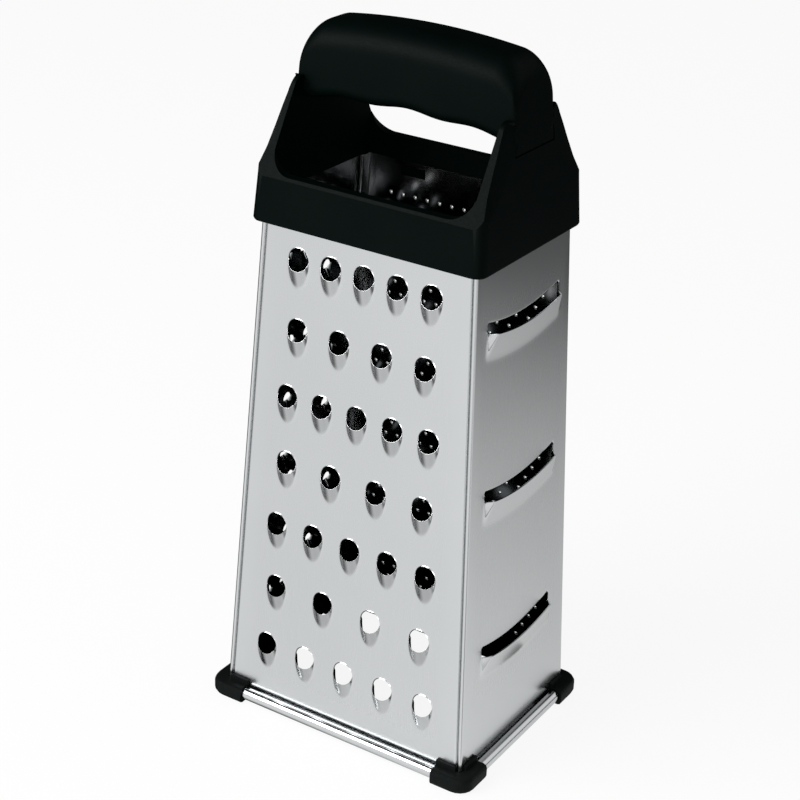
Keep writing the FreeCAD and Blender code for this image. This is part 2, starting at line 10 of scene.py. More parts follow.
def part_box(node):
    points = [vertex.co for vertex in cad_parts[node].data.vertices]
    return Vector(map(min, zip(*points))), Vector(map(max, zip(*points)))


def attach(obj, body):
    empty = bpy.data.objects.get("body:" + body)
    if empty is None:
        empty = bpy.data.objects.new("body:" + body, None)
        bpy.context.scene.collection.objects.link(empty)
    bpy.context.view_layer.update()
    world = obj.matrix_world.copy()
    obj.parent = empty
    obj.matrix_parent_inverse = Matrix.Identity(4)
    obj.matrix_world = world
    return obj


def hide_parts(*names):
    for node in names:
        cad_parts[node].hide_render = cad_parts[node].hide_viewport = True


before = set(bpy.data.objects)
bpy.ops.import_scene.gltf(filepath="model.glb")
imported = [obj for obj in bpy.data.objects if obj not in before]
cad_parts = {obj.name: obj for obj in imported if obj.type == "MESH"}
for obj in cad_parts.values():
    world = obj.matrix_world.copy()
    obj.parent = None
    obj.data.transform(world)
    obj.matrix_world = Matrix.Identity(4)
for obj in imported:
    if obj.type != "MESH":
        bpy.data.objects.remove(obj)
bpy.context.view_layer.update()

bl_info = {
    "name": "Box grater",
    "version": (1, 0, 0),
    "blender": (4, 5, 0),
    "location": "View3D > Sidebar > Grater",
    "description": "Makes the steel faces, the moulded handle and feet of a box grater, and its studio",
    "category": "Add Mesh",
}

# Points closer than this, in metres, are one point.
WELD = 2e-6

# Faces that meet at more than this, in degrees, meet at a sharp edge: where the sheet is bent, on a form
# that is punched or moulded, and on a moulding whose edges are rounded.
SHEET_SHARP = 45
FORM_SHARP = 40
ROUNDED_SHARP = 35

# How the steel's surface was left, as values of the point attribute that its material reads. The last
# also darkens the colour to the inside's, as painted shade inside the body and in the hem's crease.
BRUSHED = 0.0
BURNISHED = 1.0
MILL_SKIN_PAINTED_SHADE = 2.0

# The photograph's camera, fitted to the body's edges, in pixels, degrees and metres.
PHOTO_SIDE = 800
PHOTO_FOCAL = 1880.3
CAMERA_YAW = 31.684
CAMERA_PITCH = 25.623
CAMERA_ROLL = 2.565
CAMERA_PLACE = (0.2928, -0.48, 0.3844)


def length(name, description, default):
    """A property that holds a size in metres."""
    return FloatProperty(name=name, description=description, default=default, unit="LENGTH")


def colour(name, description, default):
    """A property that holds a colour as an sRGB hex value."""
    return StringProperty(name=name, description=description, default=default)


class SteelSizes(bpy.types.PropertyGroup):
    """Sizes of the four steel faces, their lock seams and rolled hems."""

    base_width: length("Base width", "Wide face at the crease over its hem", 0.0962)
    base_depth: length("Base depth", "Narrow face at the crease over its hem", 0.07)
    collar_width: length("Collar width", "Wide face at the collar's edge", 0.0791)
    collar_depth: length("Collar depth", "Narrow face at the collar's edge", 0.0587)
    flank_height: length("Flank height", "Steel between the hem's crease and the collar", 0.1725)
    tuck: length("Tuck", "Steel that stands up inside the collar", 0.008)
    sheet: length("Sheet", "Thickness of the steel sheet", 0.0005)
    foot_sole: length("Foot sole", "Height of the hems over the floor", 0.0008)
    hem_diameter: length("Hem diameter", "Outside of the rolled hem", 0.0045)
    hem_inset: length("Hem inset", "How far the hem ends from the corner", 0.005)
    hem_gap: length("Hem gap", "Gap between the rolled edge and the face", 0.0009)
    seam_lap: length("Seam lap", "Depth of the folded lock seam", 0.0034)
    seam_clearance: length("Seam clearance", "Gap between the folds of the seam", 0.00008)
    seam_bend: length("Seam bend", "Inner radius of the bend into the seam", 0.0004)
    lug_spacing: length("Lug spacing", "Between the two slots for the collar's lugs", 0.04)


class ToothSizes(bpy.types.PropertyGroup):
    """Sizes and places of the teeth on the four faces."""

    hood_angle: FloatProperty(
        name="Hood angle", description="Slope of a tooth's back", default=math.radians(24), unit="ROTATION"
    )
    mouth_angle: FloatProperty(
        name="Mouth angle", description="Slope of a tooth's mouth", default=math.radians(35), unit="ROTATION"
    )
    coarse_lift_share: FloatProperty(
        name="Coarse lift share", description="Height of a coarse hood against a half tube", default=0.66
    )
    coarse_radius: length("Coarse radius", "Hole of a coarse tooth", 0.0035)
    coarse_rows: IntProperty(name="Coarse rows", description="Rows of coarse teeth", default=7, min=1)
    coarse_first: length("Coarse first row", "First row over the hem's crease", 0.0205)
    coarse_pitch: length("Coarse row pitch", "From one row to the next", 0.0237)
    coarse_margin: length("Coarse margin", "Corner to the first tooth of a row of five", 0.0154)
    coarse_inset: length("Coarse inset", "Corner to the first tooth of a row of four", 0.0172)
    medium_radius: length("Medium radius", "Hole of a medium tooth", 0.002)
    medium_pitch: length("Medium pitch", "Between medium teeth in a row", 0.0094)
    medium_row_pitch: length("Medium row pitch", "Between rows of medium teeth", 0.0108)
    fine_radius: length("Fine radius", "Foot of a fine burr", 0.00125)
    fine_lift: length("Fine lift", "Height of a fine burr's points", 0.001)
    fine_pitch: length("Fine pitch", "Between fine burrs in a row", 0.00479)
    fine_row_pitch: length("Fine row pitch", "Between rows of fine burrs", 0.0046)
    slot_count: IntProperty(name="Slots", description="Slicing slots on the right face", default=3, min=1)
    slot_half_length: length("Slot half length", "Middle of a slicing slot to its end", 0.0214)
    slot_arc: length("Slot arc", "Radius of the slot's curve", 0.094)
    slot_opening: length("Slot opening", "Gap over the blade", 0.003)
    slot_lift: length("Slot lift", "Height of the blade over the face", 0.0026)
    slot_run: length("Slot run", "Length of the slope below the blade", 0.0086)
    slot_end: length("Slot end", "Run of the closed end of a blade", 0.0013)
    slot_first: length("First slot", "Lowest slot over the hem's crease", 0.039)
    slot_pitch: length("Slot pitch", "From one slot to the next", 0.0569)


class HandleSizes(bpy.types.PropertyGroup):
    """Sizes of the moulded grip, and the soft edges of the frame and feet."""

    grip_half_length: length("Grip half length", "Middle of the grip to its end", 0.03935)
    grip_half_depth: length("Grip half depth", "Middle of the grip to its side", 0.012)
    grip_height: length("Grip height", "Underside to top of the bar", 0.0252)
    grip_crown: length("Grip crown", "Rise of the arched top", 0.003)
    grip_end_round: length("Grip end round", "Round of the top into the end", 0.008)
    grip_plan_round: length("Grip plan round", "Round of the upright end corners", 0.0016)
    grip_top_round: length("Grip top round", "Round of the upper long edges", 0.0092)
    grip_base_round: length("Grip base round", "Round of the lower long edges", 0.0042)
    finger_pitch: length("Finger pitch", "Between the finger hollows", 0.024)
    finger_depth: length("Finger depth", "Depth of a finger hollow", 0.001)
    end_lean: FloatProperty(
        name="End lean", description="How the grip's ends lean in, over their height", default=0.0769
    )
    seat_drop: length("Seat drop", "Frame's shoulders to the grip's underside", 0.0057)
    leg_drop: length("Leg drop", "How far a leg reaches below the grip's underside", 0.0053)
    leg_thickness: length("Leg thickness", "Thickness of a leg", 0.0018)
    neck_half: length("Neck half", "Half the flat of an end plate at its neck", 0.0099)
    neck_drop: length("Neck drop", "Frame's shoulders to the neck", 0.0068)
    frame_edge: length("Frame edge", "Soft edge of the handle frame", 0.0014)
    foot_edge: length("Foot edge", "Soft edge of a foot", 0.0004)


class Finishes(bpy.types.PropertyGroup):
    """Colours of the steel, the mouldings and the studio."""

    steel: colour("Steel", "Satin stainless steel", "#D3D5D6")
    steel_shade: colour("Steel shade", "Duller streaks in the steel", "#CBCECF")
    # The inside's mill skin, its colour darkened as painted shade.
    steel_inside_painted_shade: colour("Steel inside", "Mill skin of the inside", "#4A4E50")
    handle: colour("Handle", "Black moulded plastic", "#000504")
    handle_shade: colour("Handle shade", "Paler bloom in the plastic", "#020A08")
    foot: colour("Foot", "Black rubbery plastic of the feet", "#0E1010")
    foot_shade: colour("Foot shade", "Scuffed plastic of the feet", "#161919")
    floor: colour("Floor", "Studio floor", "#F2F2F2")
    # Painted shade of the floor in reflections, under the grater and past its white ground.
    floor_painted_shade: colour("Floor shade", "Studio floor in reflections, past its white ground", "#0C0C0C")


def linear(hex_colour):
    """An sRGB hex colour as linear red, green, blue and alpha."""
    parts = [int(hex_colour[place : place + 2], 16) / 255 for place in (1, 3, 5)]
    bent = [part / 12.92 if part <= 0.04045 else ((part + 0.055) / 1.055) ** 2.4 for part in parts]
    return (*bent, 1.0)


def add(tree, kind, inputs=None, **settings):
    """Adds a node with its settings. An input is a value, or a node or socket to link, or a list of these.
    A node is linked by the first of its outputs that is in use."""
    made = tree.nodes.new(kind)
    for name, value in settings.items():
        setattr(made, name, value)
    for key, value in (inputs or {}).items():
        for source in value if isinstance(value, list) else [value]:
            if isinstance(source, bpy.types.Node):
                source = next(socket for socket in source.outputs if socket.enabled)
            if isinstance(source, bpy.types.NodeSocket):
                tree.links.new(source, made.inputs[key])
            else:
                made.inputs[key].default_value = source
    return made


def new_material(name):
    """A node material and its tree, which is empty."""
    material = bpy.data.materials.new(name)
    material.use_nodes = True
    material.node_tree.nodes.clear()
    return material, material.node_tree


def satin_steel(finishes):
    """Stainless steel sheet with a satin brushed finish: a soft broad glint drawn out along the brushing,
    and a tighter one where the press or the roller has burnished it. The inside keeps the smoother skin of
    the rolling mill, and its colour is darkened as painted shade, so that little light comes back out of the
    body."""
    material, tree = new_material("Satin brushed stainless steel")
    place = add(tree, "ShaderNodeTexCoord").outputs["Object"]
    worked = add(tree, "ShaderNodeAttribute", attribute_name="worked").outputs["Fac"]
    # Brush lines are about 0.1 mm wide and 25 mm long. They are drawn 0.4 mm wide, because finer ones do
    # not show.
    line_wide = 0.0004
    line_long = 0.025
    scale = (1 / line_wide, 1 / line_wide, 1 / line_long)
    across = add(tree, "ShaderNodeMapping", {"Vector": place, "Scale": scale})
    lines = add(tree, "ShaderNodeTexNoise", {"Vector": across, "Scale": 1.0, "Detail": 2.0})
    # Duller streaks drift over about 45 mm.
    cloud = add(tree, "ShaderNodeTexNoise", {"Vector": place, "Scale": 22.0, "Detail": 3.0})
    shades = {"Factor": cloud, "A": linear(finishes.steel_shade), "B": linear(finishes.steel)}
    brushed = add(tree, "ShaderNodeMix", shades, data_type="RGBA")
    # Past burnished, the colour turns to the inside's, which is darkened as painted shade.
    inside = add(tree, "ShaderNodeMapRange", {"Value": worked, "From Min": BURNISHED, "From Max": MILL_SKIN_PAINTED_SHADE})
    skins = {"Factor": inside, "A": brushed, "B": linear(finishes.steel_inside_painted_shade)}
    skin = add(tree, "ShaderNodeMix", skins, data_type="RGBA")
    spread = {"Value": lines, "From Min": 0.3, "From Max": 0.7, "To Min": 0.27, "To Max": 0.29}
    satin = add(tree, "ShaderNodeMapRange", spread)
    rough = add(tree, "ShaderNodeMapRange", {"Value": worked, "To Min": satin, "To Max": 0.17})
    rough = add(tree, "ShaderNodeMix", {"Factor": inside, "A": rough, "B": 0.08}, data_type="FLOAT")
    bump = add(tree, "ShaderNodeBump", {"Height": lines, "Strength": 0.01, "Distance": 0.0001})
    steel = {"Base Color": skin, "Roughness": rough, "Normal": bump, "Metallic": 1.0}
    shader = add(tree, "ShaderNodeBsdfPrincipled", steel)
    add(tree, "ShaderNodeOutputMaterial", {"Surface": shader})
    return material


def moulded_plastic(name, main_colour, shade, roughness, grain):
    """Black moulded plastic: a faint bloom in the colour, and the fine spark grain of the mould that breaks
    up its glint. The grain is given in metres from bump to bump."""
    material, tree = new_material(name)
    place = add(tree, "ShaderNodeTexCoord").outputs["Object"]
    # The bloom drifts over about 18 mm.
    cloud = add(tree, "ShaderNodeTexNoise", {"Vector": place, "Scale": 55.0, "Detail": 4.0})
    shades = {"Factor": cloud, "A": linear(main_colour), "B": linear(shade)}
    bloom = add(tree, "ShaderNodeMix", shades, data_type="RGBA")
    spark = add(tree, "ShaderNodeTexNoise", {"Vector": place, "Scale": 1 / grain, "Detail": 2.0})
    # The grain shifts the roughness by this much either way.
    swing = 0.05
    spread = {"Value": spark, "From Min": 0.3, "From Max": 0.7}
    spread["To Min"] = roughness - swing
    spread["To Max"] = roughness + swing
    rough = add(tree, "ShaderNodeMapRange", spread)
    bump = add(tree, "ShaderNodeBump", {"Height": spark, "Strength": 0.08, "Distance": 0.0001})
    plastic = {"Base Color": bloom, "Roughness": rough, "Normal": bump}
    plastic["IOR"] = 1.53
    plastic["Specular IOR Level"] = 0.035
    shader = add(tree, "ShaderNodeBsdfPrincipled", plastic)
    add(tree, "ShaderNodeOutputMaterial", {"Surface": shader})
    return material


def shared(kind, name, make, *given):
    """A node tree or material that is made once and then found again by its name."""
    found = kind.get(name)
    return found if found else make(*given)


def steel_material(context):
    """The steel of all four faces."""
    finishes = context.scene.grater_finishes
    return shared(bpy.data.materials, "Satin brushed stainless steel", satin_steel, finishes)


def handle_plastic(context):
    """ABS with a fine matt grain."""
    finishes = context.scene.grater_finishes
    name = "Moulded black ABS"
    looks = (name, finishes.handle, finishes.handle_shade, 0.5, 0.0006)
    return shared(bpy.data.materials, name, moulded_plastic, *looks)


def foot_plastic(context):
    """Polypropylene, a little paler and scuffed."""
    finishes = context.scene.grater_finishes
    name = "Moulded black polypropylene"
    looks = (name, finishes.foot, finishes.foot_shade, 0.48, 0.0005)
    return shared(bpy.data.materials, name, moulded_plastic, *looks)


class Skin:
    """Points and faces that grow into one mesh."""

    def __init__(self):
        self.points = []
        self.faces = []
        self.smooth = []
        self.worked = []

    def rows(self, rows, closed=False, smooth=True, worked=None):
        """Joins rows of the same count of points by four-sided faces."""
        count = len(rows[0])
        start = len(self.points)
        for number, row in enumerate(rows):
            self.points += row
            self.worked += [worked[number] if worked else BURNISHED] * count
        for number in range(len(rows) - 1):
            low = start + number * count
            for column in range(count if closed else count - 1):
                after = (column + 1) % count
                self.faces.append((low + column, low + after, low + count + after, low + count + column))
                self.smooth.append(smooth)

    def mesh(self, name, sharp_angle=SHEET_SHARP):
        """The mesh, with its edges sharp where faces meet at more than an angle in degrees."""
        mesh = bpy.data.meshes.new(name)
        mesh.from_pydata([tuple(point) for point in self.points], [], self.faces)
        mesh.polygons.foreach_set("use_smooth", self.smooth)
        worked = mesh.attributes.new("worked", "FLOAT", "POINT")
        worked.data.foreach_set("value", self.worked)
        mark_sharp(mesh, sharp_angle)
        return mesh


@contextmanager
def opened(mesh):
    """The mesh as a shape to edit, which goes back into it at the end."""
    shape = bmesh.new()
    shape.from_mesh(mesh)
    yield shape
    shape.to_mesh(mesh)
    shape.free()


def mark_sharp(mesh, angle):
    """Marks the edges where two faces meet at more than an angle in degrees."""
    with opened(mesh) as shape:
        for edge in shape.edges:
            edge.smooth = len(edge.link_faces) == 2 and edge.calc_face_angle(0) < math.radians(angle)


def arc(centre_u, centre_v, radius, start, end, steps):
    """Points along an arc in a plane, both ends included, with angles in degrees."""
    angles = [math.radians(start + (end - start) * number / steps) for number in range(steps + 1)]
    return [(centre_u + radius * math.cos(angle), centre_v + radius * math.sin(angle)) for angle in angles]


class SteelFace:
    """One side of the body, drawn looking to -Y and turned to its own side at the end."""

    # Flat sheet that is drawn with the seam, ahead of its bend.
    LEAD = 0.0004
    # Steps along the seam's bends, the bead's nose and the hem's roll.
    BEND_STEPS = 8
    NOSE_STEPS = 12
    HEM_STEPS = 44
    # How far in front of its middle the hem's roll starts to take painted shade in its crease, as a share of
    # its radius.
    HEM_CREASE_PAINTED_SHADE = 0.2
    # The middle of a lug's slot below the top of the sheet, and the slot's half sizes.
    LUG_DROP = 0.0037
    LUG_HALF_LENGTH = 0.00475
    LUG_HALF_HEIGHT = 0.00155

    def __init__(self, steel, wide, turn):
        self.steel = steel
        self.wide = wide
        self.turn = Matrix.Rotation(math.radians(turn), 4, "Z")
        self.hem_radius = steel.hem_diameter / 2
        self.foot_z = steel.foot_sole + self.hem_radius
        self.crease_z = steel.foot_sole + steel.hem_diameter
        self.top_z = self.crease_z + steel.flank_height + steel.tuck
        breadths = (steel.base_width, steel.collar_width)
        depths = (steel.base_depth, steel.collar_depth)
        self.across_ends, self.away_ends = (breadths, depths) if wide else (depths, breadths)
        rise = self.top_z - self.foot_z
        self.slope = math.atan((self.away(self.foot_z) - self.away(self.top_z)) / rise)
        self.thickness = steel.sheet * math.cos(self.slope)
        self.inward = Vector((0, math.cos(self.slope), -math.sin(self.slope))) * self.thickness
        self.nose = (3 * steel.sheet + 2 * steel.seam_clearance) / 2
        self.section = self.hook_section() if wide else self.bead_section()
        self.edge = self.section[0][0]
        self.hem_reach = self.across(self.foot_z) - steel.hem_inset

    def between(self, ends, z):
        """Half of a breadth that goes evenly from the crease to the collar's edge."""
        low, high = ends
        return (low + (high - low) * (z - self.crease_z) / self.steel.flank_height) / 2

    def across(self, z):
        """Half the breadth of the face at a height."""
        return self.between(self.across_ends, z)

    def away(self, z):
        """How far the outer surface stands from the middle at a height."""
        return self.between(self.away_ends, z)

    def on_sheet(self, x, z):
        """A point of the outer surface."""
        return Vector((x, -self.away(z), z))

    def on_plan(self, x, z):
        """The same point on the face laid flat, with its foot along the X axis."""
        return Vector((x, (z - self.foot_z) / math.cos(self.slope), 0))

    def from_plan(self, point):
        """A point of the face laid flat, moved to where it stands."""
        lifted = Matrix.Rotation(math.pi / 2 - self.slope, 4, "X") @ point
        return lifted + Vector((0, -self.away(self.foot_z), self.foot_z))

    def through(self, points):
        """Points of the outer surface, and the same points on the inner one."""
        return [points, [point + self.inward for point in points]]

    def hook_section(self):
        """A wide face's edge as (inwards, deep) points: bent inwards, then hooked round the bead's leg."""
        steel = self.steel
        near = 3 * steel.sheet + 3 * steel.seam_clearance
        tip_near = steel.sheet + steel.seam_clearance
        bend = steel.seam_bend + steel.sheet
        hook = (near + steel.sheet - tip_near) / 2
        middle = tip_near + hook
        start = self.nose + steel.seam_lap + steel.seam_clearance
        tip_end = self.nose + steel.seam_clearance
        flat = near + bend
        points = [(flat + self.LEAD, 0)]
        points += arc(flat, bend, bend, -90, -180, self.BEND_STEPS)
        points += arc(middle, start, hook - steel.sheet, 0, 180, self.BEND_STEPS)
        points += [(tip_near + steel.sheet, tip_end), (tip_near, tip_end)]
        points += arc(middle, start, hook, 180, 0, self.BEND_STEPS)
        points += arc(flat, bend, steel.seam_bend, -180, -90, self.BEND_STEPS)
        return points + [(flat + self.LEAD, steel.sheet)]

    def bead_section(self):
        """A narrow face's edge as (inwards, deep) points: folded back on itself into a round bead."""
        steel = self.steel
        nose = self.nose
        leg_end = nose + steel.seam_lap
        points = [(nose + self.LEAD, 0)]
        points += arc(nose, nose, nose, -90, -270, self.NOSE_STEPS)
        points += [(leg_end, 2 * nose), (leg_end, 2 * nose - steel.sheet)]
        points += arc(nose, nose, nose - steel.sheet, -270, -90, self.NOSE_STEPS)
        return points + [(nose + self.LEAD, steel.sheet)]

    def seam_rows(self, side):
        """The seam's section at the foot and at the top, on the right (1) or left (-1) corner."""
        rows = []
        for z in (self.foot_z, self.top_z):
            row = [
                Vector((side * (self.across(z) - inwards), deep - self.away(z), z))
                for inwards, deep in self.section
            ]
            row[-1] = row[0] + self.inward
            rows.append(row)
        return rows[::-1] if side < 0 else rows

    def add_seams(self, skin):
        """Both seams with their cut ends, and the cut edges of the sheet at the foot and the top."""
        for side in (-1, 1):
            rows = self.seam_rows(side)
            skin.rows(rows)
            half = len(rows[0]) // 2
            for row, flip in zip(rows, (False, True)):
                outer = row[:half]
                inner = row[half:][::-1]
                skin.rows([outer, inner] if flip else [inner, outer], smooth=False)
            low = self.across(self.foot_z) - self.edge
            strip = self.through([self.on_sheet(side * x, self.foot_z) for x in (self.hem_reach, low)])
            skin.rows(strip if side < 0 else strip[::-1], smooth=False)
        reach = self.across(self.top_z) - self.edge
        skin.rows(self.through([self.on_sheet(x, self.top_z) for x in (-reach, reach)]), smooth=False)

    def add_hem(self, skin):
        """The hem, rolled outwards into an open tube, with its cut ends."""
        inner = self.hem_radius - self.steel.sheet
        free_turn = math.degrees(math.asin((inner - self.steel.hem_gap) / self.hem_radius))
        centre = self.steel.sheet - self.away(self.foot_z) - self.hem_radius
        turn = -270 - free_turn
        profile = arc(centre, self.foot_z, self.hem_radius, 0, turn, self.HEM_STEPS)
        profile += arc(centre, self.foot_z, inner, turn, 0, self.HEM_STEPS)
        rows = []
        for x in (-self.hem_reach, self.hem_reach):
            row = [Vector((x, y, z)) for y, z in profile]
            row[-1] = self.on_sheet(x, self.foot_z)
            row[0] = row[-1] + self.inward
            rows.append(row)
        # The roll is burnished in front. In the crease behind it and on its inside it has the inside's mill
        # skin, darkened as painted shade.
        half = len(profile) // 2
        crease = centre - self.HEM_CREASE_PAINTED_SHADE * self.hem_radius
        worked = [MILL_SKIN_PAINTED_SHADE if y > crease and z > self.foot_z else BURNISHED for y, z in profile[:half]]
        worked += [MILL_SKIN_PAINTED_SHADE] * (half - 1) + [BURNISHED]
        skin.rows(list(zip(*rows)), worked=worked)
        skin.rows([rows[0][:half], rows[0][half:][::-1]], smooth=False)
        skin.rows([rows[1][half:][::-1], rows[1][:half]], smooth=False)

    def edges(self):
        """The hem, both seams and the cut edges of the sheet."""
        skin = Skin()
        self.add_seams(skin)
        self.add_hem(skin)
        for loop in self.lug_loops():
            ring = [self.from_plan(point) for point in loop]
            skin.rows(self.through(ring), closed=True, smooth=False)
        return skin

    def lug_loops(self):
        """The two slots near the top of a wide face that the collar's lugs click into."""
        if not self.wide:
            return []
        loops = []
        for side in (-1, 1):
            middle = self.on_plan(side * self.steel.lug_spacing / 2, self.top_z - self.LUG_DROP)
            loop = []
            for x, y in ((-1, -1), (1, -1), (1, 1), (-1, 1)):
                loop.append(middle + Vector((x * self.LUG_HALF_LENGTH, y * self.LUG_HALF_HEIGHT, 0)))
            loops.append(loop)
        return loops

    def outline_loops(self):
        """The flat's outline between seams and hem, then the lug slots."""
        low = self.across(self.foot_z) - self.edge
        high = self.across(self.top_z) - self.edge
        corners = [(-low, self.foot_z), (-self.hem_reach, self.foot_z), (self.hem_reach, self.foot_z)]
        corners += [(low, self.foot_z), (high, self.top_z), (-high, self.top_z)]
        return [[self.on_plan(x, z) for x, z in corners]] + self.lug_loops()


def loop_mesh(name, loops):
    """A mesh of closed loops of edges, with no faces."""
    points = []
    edges = []
    for loop in loops:
        start = len(points)
        points += [tuple(point) for point in loop]
        edges += [(start + number, start + (number + 1) % len(loop)) for number in range(len(loop))]
    mesh = bpy.data.meshes.new(name)
    mesh.from_pydata(points, edges, [])
    return mesh


class PunchedForm:
    """One punched shape in a sheet laid flat, outer face at z = 0 and +Y up the face. Each column runs from
    the sheet over the shape's foot to its lip, and back along the inside."""

    def __init__(self, thickness):
        self.thickness = thickness
        self.columns = []

    def column(self, edge, foot, lip, under_lip, under_foot):
        """Adds a column: where it leaves the sheet, its foot, its lip, and both under the sheet."""
        # The bend starts part of the way in from the edge, and ends part of the way up to the lip.
        start = edge.lerp(foot, 0.55)
        turn = foot.lerp(lip, 0.22)
        bend = [start.lerp(foot, part).lerp(foot.lerp(turn, part), part) for part in (0, 0.25, 0.5, 0.75, 1)]
        hood = [foot.lerp(lip, 0.5), foot.lerp(lip, 0.8), lip]
        inside = [under_lip, under_lip.lerp(under_foot, 0.5), under_foot]
        under_edge = edge - Vector((0, 0, self.thickness))
        self.columns.append([edge] + bend + hood + inside + [under_edge])

    def meshes(self, name):
        """The form, and the loop along which it leaves the sheet."""
        rows = [list(row) for row in zip(*self.columns)]
        # The press burnishes the sheet from part of the way round the bend up to the lip. Under the sheet it
        # has the inside's skin, darkened as painted shade.
        worked = [BRUSHED, BRUSHED, 0.4 * BURNISHED] + [BURNISHED] * 7 + [MILL_SKIN_PAINTED_SHADE] * 3
        skin = Skin()
        skin.rows(rows, closed=True, worked=worked)
        return skin.mesh(name + " form", FORM_SHARP), loop_mesh(name + " outline", rows[:1])


def tooth_form(face, teeth, radius, around, lift_share=1.0):
    """A grating tooth: a round hole with a rolled upper edge, its lower edge raised into a hood. It has so
    many columns around it, and its hood rises by a share of a full half tube."""
    sheet = face.steel.sheet
    thickness = face.thickness
    form = PunchedForm(thickness)
    outer = radius + sheet
    margin = 0.35 * outer
    bead = 0.4 * sheet
    hood = teeth.hood_angle
    mouth = teeth.mouth_angle
    lip_up = lift_share * math.sin(mouth) / math.sin(mouth + hood)
    lip_down = math.cos(mouth) / math.sin(mouth + hood)
    foot_down = 1 / math.sin(hood)
    for number in range(around):
        turn = 2 * math.pi * (number + 0.5) / around
        side = math.cos(turn)
        up = math.sin(turn)
        # At its flanks the upper rim stands back and the hood comes in, so that they meet.
        flank = (1 - abs(up)) ** 2
        if up > 0:
            raised = bead * up**0.35
            rim = radius + (0.2 + 0.3 * flank) * sheet
            edge = Vector(((outer + margin) * side, (outer + margin) * up, 0))
            foot = Vector(((rim + 0.5 * sheet) * side, (rim + 0.5 * sheet) * up, 0))
            lip = Vector((rim * side, rim * up, raised))
            under_rim = rim - (0.2 - 0.15 * flank) * sheet
            under_lip = Vector((under_rim * side, under_rim * up, raised - 0.5 * thickness))
            under_foot = Vector((outer * side, outer * up, -thickness))
        else:
            reach = foot_down * outer
            edge = Vector(((outer + margin) * side, (reach + margin) * up, 0))
            foot = Vector((outer * side, reach * up, 0))
            rim = outer - 0.5 * sheet * flank
            lip = Vector((rim * side, lip_down * outer * up, -lip_up * outer * up))
            knife = outer - 0.05 * sheet
            under_rim = rim - 0.05 * sheet
            under_lip = Vector((under_rim * side, lip_down * knife * up, -lip_up * knife * up))
            under_reach = foot_down * radius + thickness / math.tan(hood)
            under_foot = Vector((radius * side, under_reach * up, -thickness))
        form.column(edge, foot, lip, under_lip, under_foot)
    return form


def burr_meshes(face, teeth, name):
    """A fine tooth and its outline: a hole pierced from inside, its torn rim standing up in four points."""
    radius = teeth.fine_radius
    # Each ring has the reach of a point and of the gap beside it, and then the heights of both.
    shapes = [
        (1.0, 1.0, 0.0, 0.0),
        (0.68, 0.66, 0.45, 0.4),
        (0.42, 0.6, 1.0, 0.55),
        (0.36, 0.42, 0.3, 0.2),
        (0.62, 0.62, -1.0, -1.0),
        (1.0, 1.0, -1.0, -1.0),
    ]
    rings = []
    for point_reach, gap_reach, point_lift, gap_lift in shapes:
        ring = []
        for number in range(8):
            turn = math.pi * number / 4
            reach = point_reach if number % 2 == 0 else gap_reach
            lift = point_lift if number % 2 == 0 else gap_lift
            z = lift * (teeth.fine_lift if lift > 0 else face.thickness)
            ring.append(Vector((reach * radius * math.cos(turn), reach * radius * math.sin(turn), z)))
        rings.append(ring)
    skin = Skin()
    # The rings under the sheet have the inside's skin, darkened as painted shade.
    skin.rows(rings, closed=True, worked=[BRUSHED] + [BURNISHED] * 3 + [MILL_SKIN_PAINTED_SHADE] * 2)
    return skin.mesh(name + " form", FORM_SHARP), loop_mesh(name + " outline", rings[:1])


